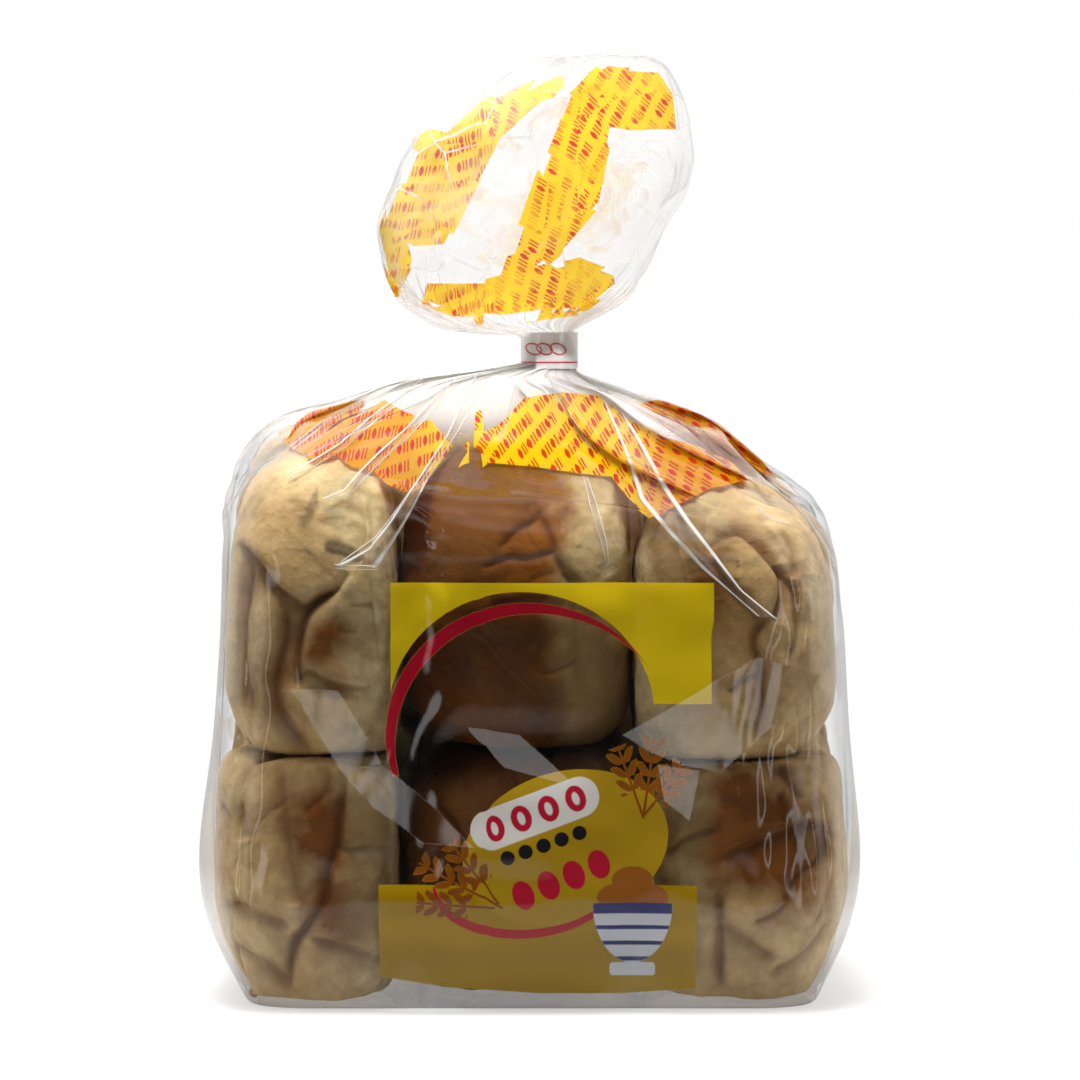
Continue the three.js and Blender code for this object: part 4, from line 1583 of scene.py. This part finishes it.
def make_bun_material():
    g = Graph("crust")
    attribute = g.node("ShaderNodeAttribute", attribute_name="skin")
    pale, crease, tone_and_light = g.split(attribute.outputs["Vector"])
    cloudy, fine, speck = g.noise(130.0, 4.0, 0.3), g.noise(420.0, 3.0), g.noise(900.0, 1.0)
    crust = crust_color(g, tone_and_light, attribute.outputs["Alpha"], crease, cloudy)
    color = g.mix(pale, crust, torn_color(g, tone_and_light))
    color = g.mix(g.ramp(fine, 0.45, 0.75, 0.0, 0.22), color, srgb(120, 80, 38))
    height = g.add(g.add(g.mul(fine, 0.6), g.mul(speck, 0.4)), g.mul(cloudy, 1.6))
    skin = {
        "Base Color": color,
        "Roughness": g.ramp(pale, 0.0, 1.0, 0.48, 0.85),
        "Normal": g.bump(height, 0.5, 0.0006),
        "Specular IOR Level": 0.12,
    }
    return g.finish(g.shader("BsdfPrincipled", **skin))


TAPE_RINGS, RINGS_HEIGHT, TAPE_LINE = (0.4, 3.2, 6.6), 160.8, 157.4


def make_tape_material():
    """Pale pink, milky tape with a thin line and a few slanted rings, in red."""
    g = Graph("tape")
    x, _, z = g.split(g.place())
    x, z = g.mul(x, 1 / MM), g.mul(z, 1 / MM)
    rings = [
        crescent(g, *(oval(g, x, z, (at, RINGS_HEIGHT), half, 70) for half in ((1.5, 2.2), (1.1, 1.8))))
        for at in TAPE_RINGS
    ]
    line = g.ramp(g.math("ABSOLUTE", g.sub(z, TAPE_LINE)), 0.28, 0.18)
    normal = g.bump(g.noise(300.0, 2.0), 0.2, 0.0003)
    tint = (0.99, 0.955, 0.945)
    return g.finish(clear_film(g, g.either(line, *rings), PRINT_RED, normal, tint, 0.85, 0.3))


# ---------------------------------------------------------------- stage


def make_floor():
    """A pale floor that fades into the white round it."""
    mesh = bpy.data.meshes.new("floor")
    size, low = 1.2, -0.0004
    corners = [(-size, -size, low), (size, -size, low), (size, size, low), (-size, size, low)]
    mesh.from_pydata(corners, [], [(0, 1, 2, 3)])
    floor = bpy.data.objects.new("floor", mesh)
    bpy.context.collection.objects.link(floor)
    g = Graph("floor")
    far = g.node("ShaderNodeVectorMath", operation="LENGTH")
    g.tree.links.new(g.place(), far.inputs[0])
    pale = g.shader("BsdfDiffuse", Color=(0.92, 0.92, 0.92))
    gone = g.shader("BsdfTransparent", Color=WHITE)
    fade = g.ramp(far.outputs["Value"], 0.13, 0.32, 0.55, 1.0)
    floor.data.materials.append(g.finish(g.blend(fade, pale, gone)))


# Bright windows that the film mirrors: middle and half width of x and z, a metre in front
WINDOWS = [((-0.85, 0.05), (0.2, 0.5)), ((0.85, 0.05), (0.2, 0.5))]
WINDOW_GLOW = 2.4


def make_world():
    """White to look at. Its light comes from above, behind and the sides, with the front dim."""
    g = Graph(bpy.data.worlds.new("world"))
    bpy.context.scene.world = g.owner
    x, y, z = g.split(g.node("ShaderNodeTexCoord").outputs["Generated"])
    path = g.node("ShaderNodeLightPath")
    mirrored, white = path.outputs["Is Glossy Ray"], path.outputs["Is Camera Ray"]
    towards = g.add(g.add(g.mul(z, 0.75), g.mul(y, 0.62)), g.mul(g.math("ABSOLUTE", x), 0.58))
    under = g.mul(g.ramp(z, -0.05, -0.6, 0.0, 0.45), g.invert(mirrored))
    glow = g.either(g.ramp(towards, 0.14, 0.85, 0.012, 1.0), under)
    ahead = g.either(g.mul(y, -1), 0.01)
    windows = 0.0
    for (at_x, at_z), (half_x, half_z) in WINDOWS:
        off_x = g.math("ABSOLUTE", g.sub(g.math("DIVIDE", x, ahead), at_x))
        off_z = g.math("ABSOLUTE", g.sub(g.math("DIVIDE", z, ahead), at_z))
        window = g.both(g.ramp(off_x, half_x, 0.4 * half_x), g.ramp(off_z, half_z, 0.6 * half_z))
        windows = g.either(windows, window)
    glow = g.add(glow, g.mul(g.mul(windows, mirrored), WINDOW_GLOW))
    strength = g.add(white, g.mul(g.invert(white), glow))
    g.finish(g.shader("Background", Color=WHITE, Strength=strength))


def area(name, at, aim, size, power, spread=180.0):
    """A square light that nothing mirrors."""
    data = bpy.data.lights.new(name, "AREA")
    data.size = size
    data.energy = power
    data.spread = math.radians(spread)
    light = bpy.data.objects.new(name, data)
    light.location = at
    light.rotation_euler = (Vector(aim) - Vector(at)).to_track_quat("-Z", "Y").to_euler()
    light.visible_glossy = False
    bpy.context.collection.objects.link(light)


def make_stage():
    make_floor()
    make_world()
    area("top", (-0.1, -0.18, 1.3), (0, 0, 0.1), 0.5, 21)
    area("upper", (-0.05, -0.5, 0.85), (-0.01, 0, 0.18), 0.1, 0.06, 8)
    area("back", (0.0, 0.95, 0.8), (0, 0, 0.15), 0.6, 5)
    scene = bpy.context.scene
    scene.view_settings.view_transform = "Standard"
    scene.cycles.transparent_max_bounces = 20
    scene.cycles.max_bounces = 4
    scene.cycles.diffuse_bounces = 2
    scene.cycles.glossy_bounces = 2
    scene.cycles.transmission_bounces = 2


make_camera()
make_stage()
buns = make_buns(make_bun_material())
film = make_film(buns, make_plain_film(), make_band_film(), make_front_film())
make_tucks(film, make_tuck_material())
make_tail(make_tail_material())
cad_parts["closure_tape"].material_slots[0].material = make_tape_material()
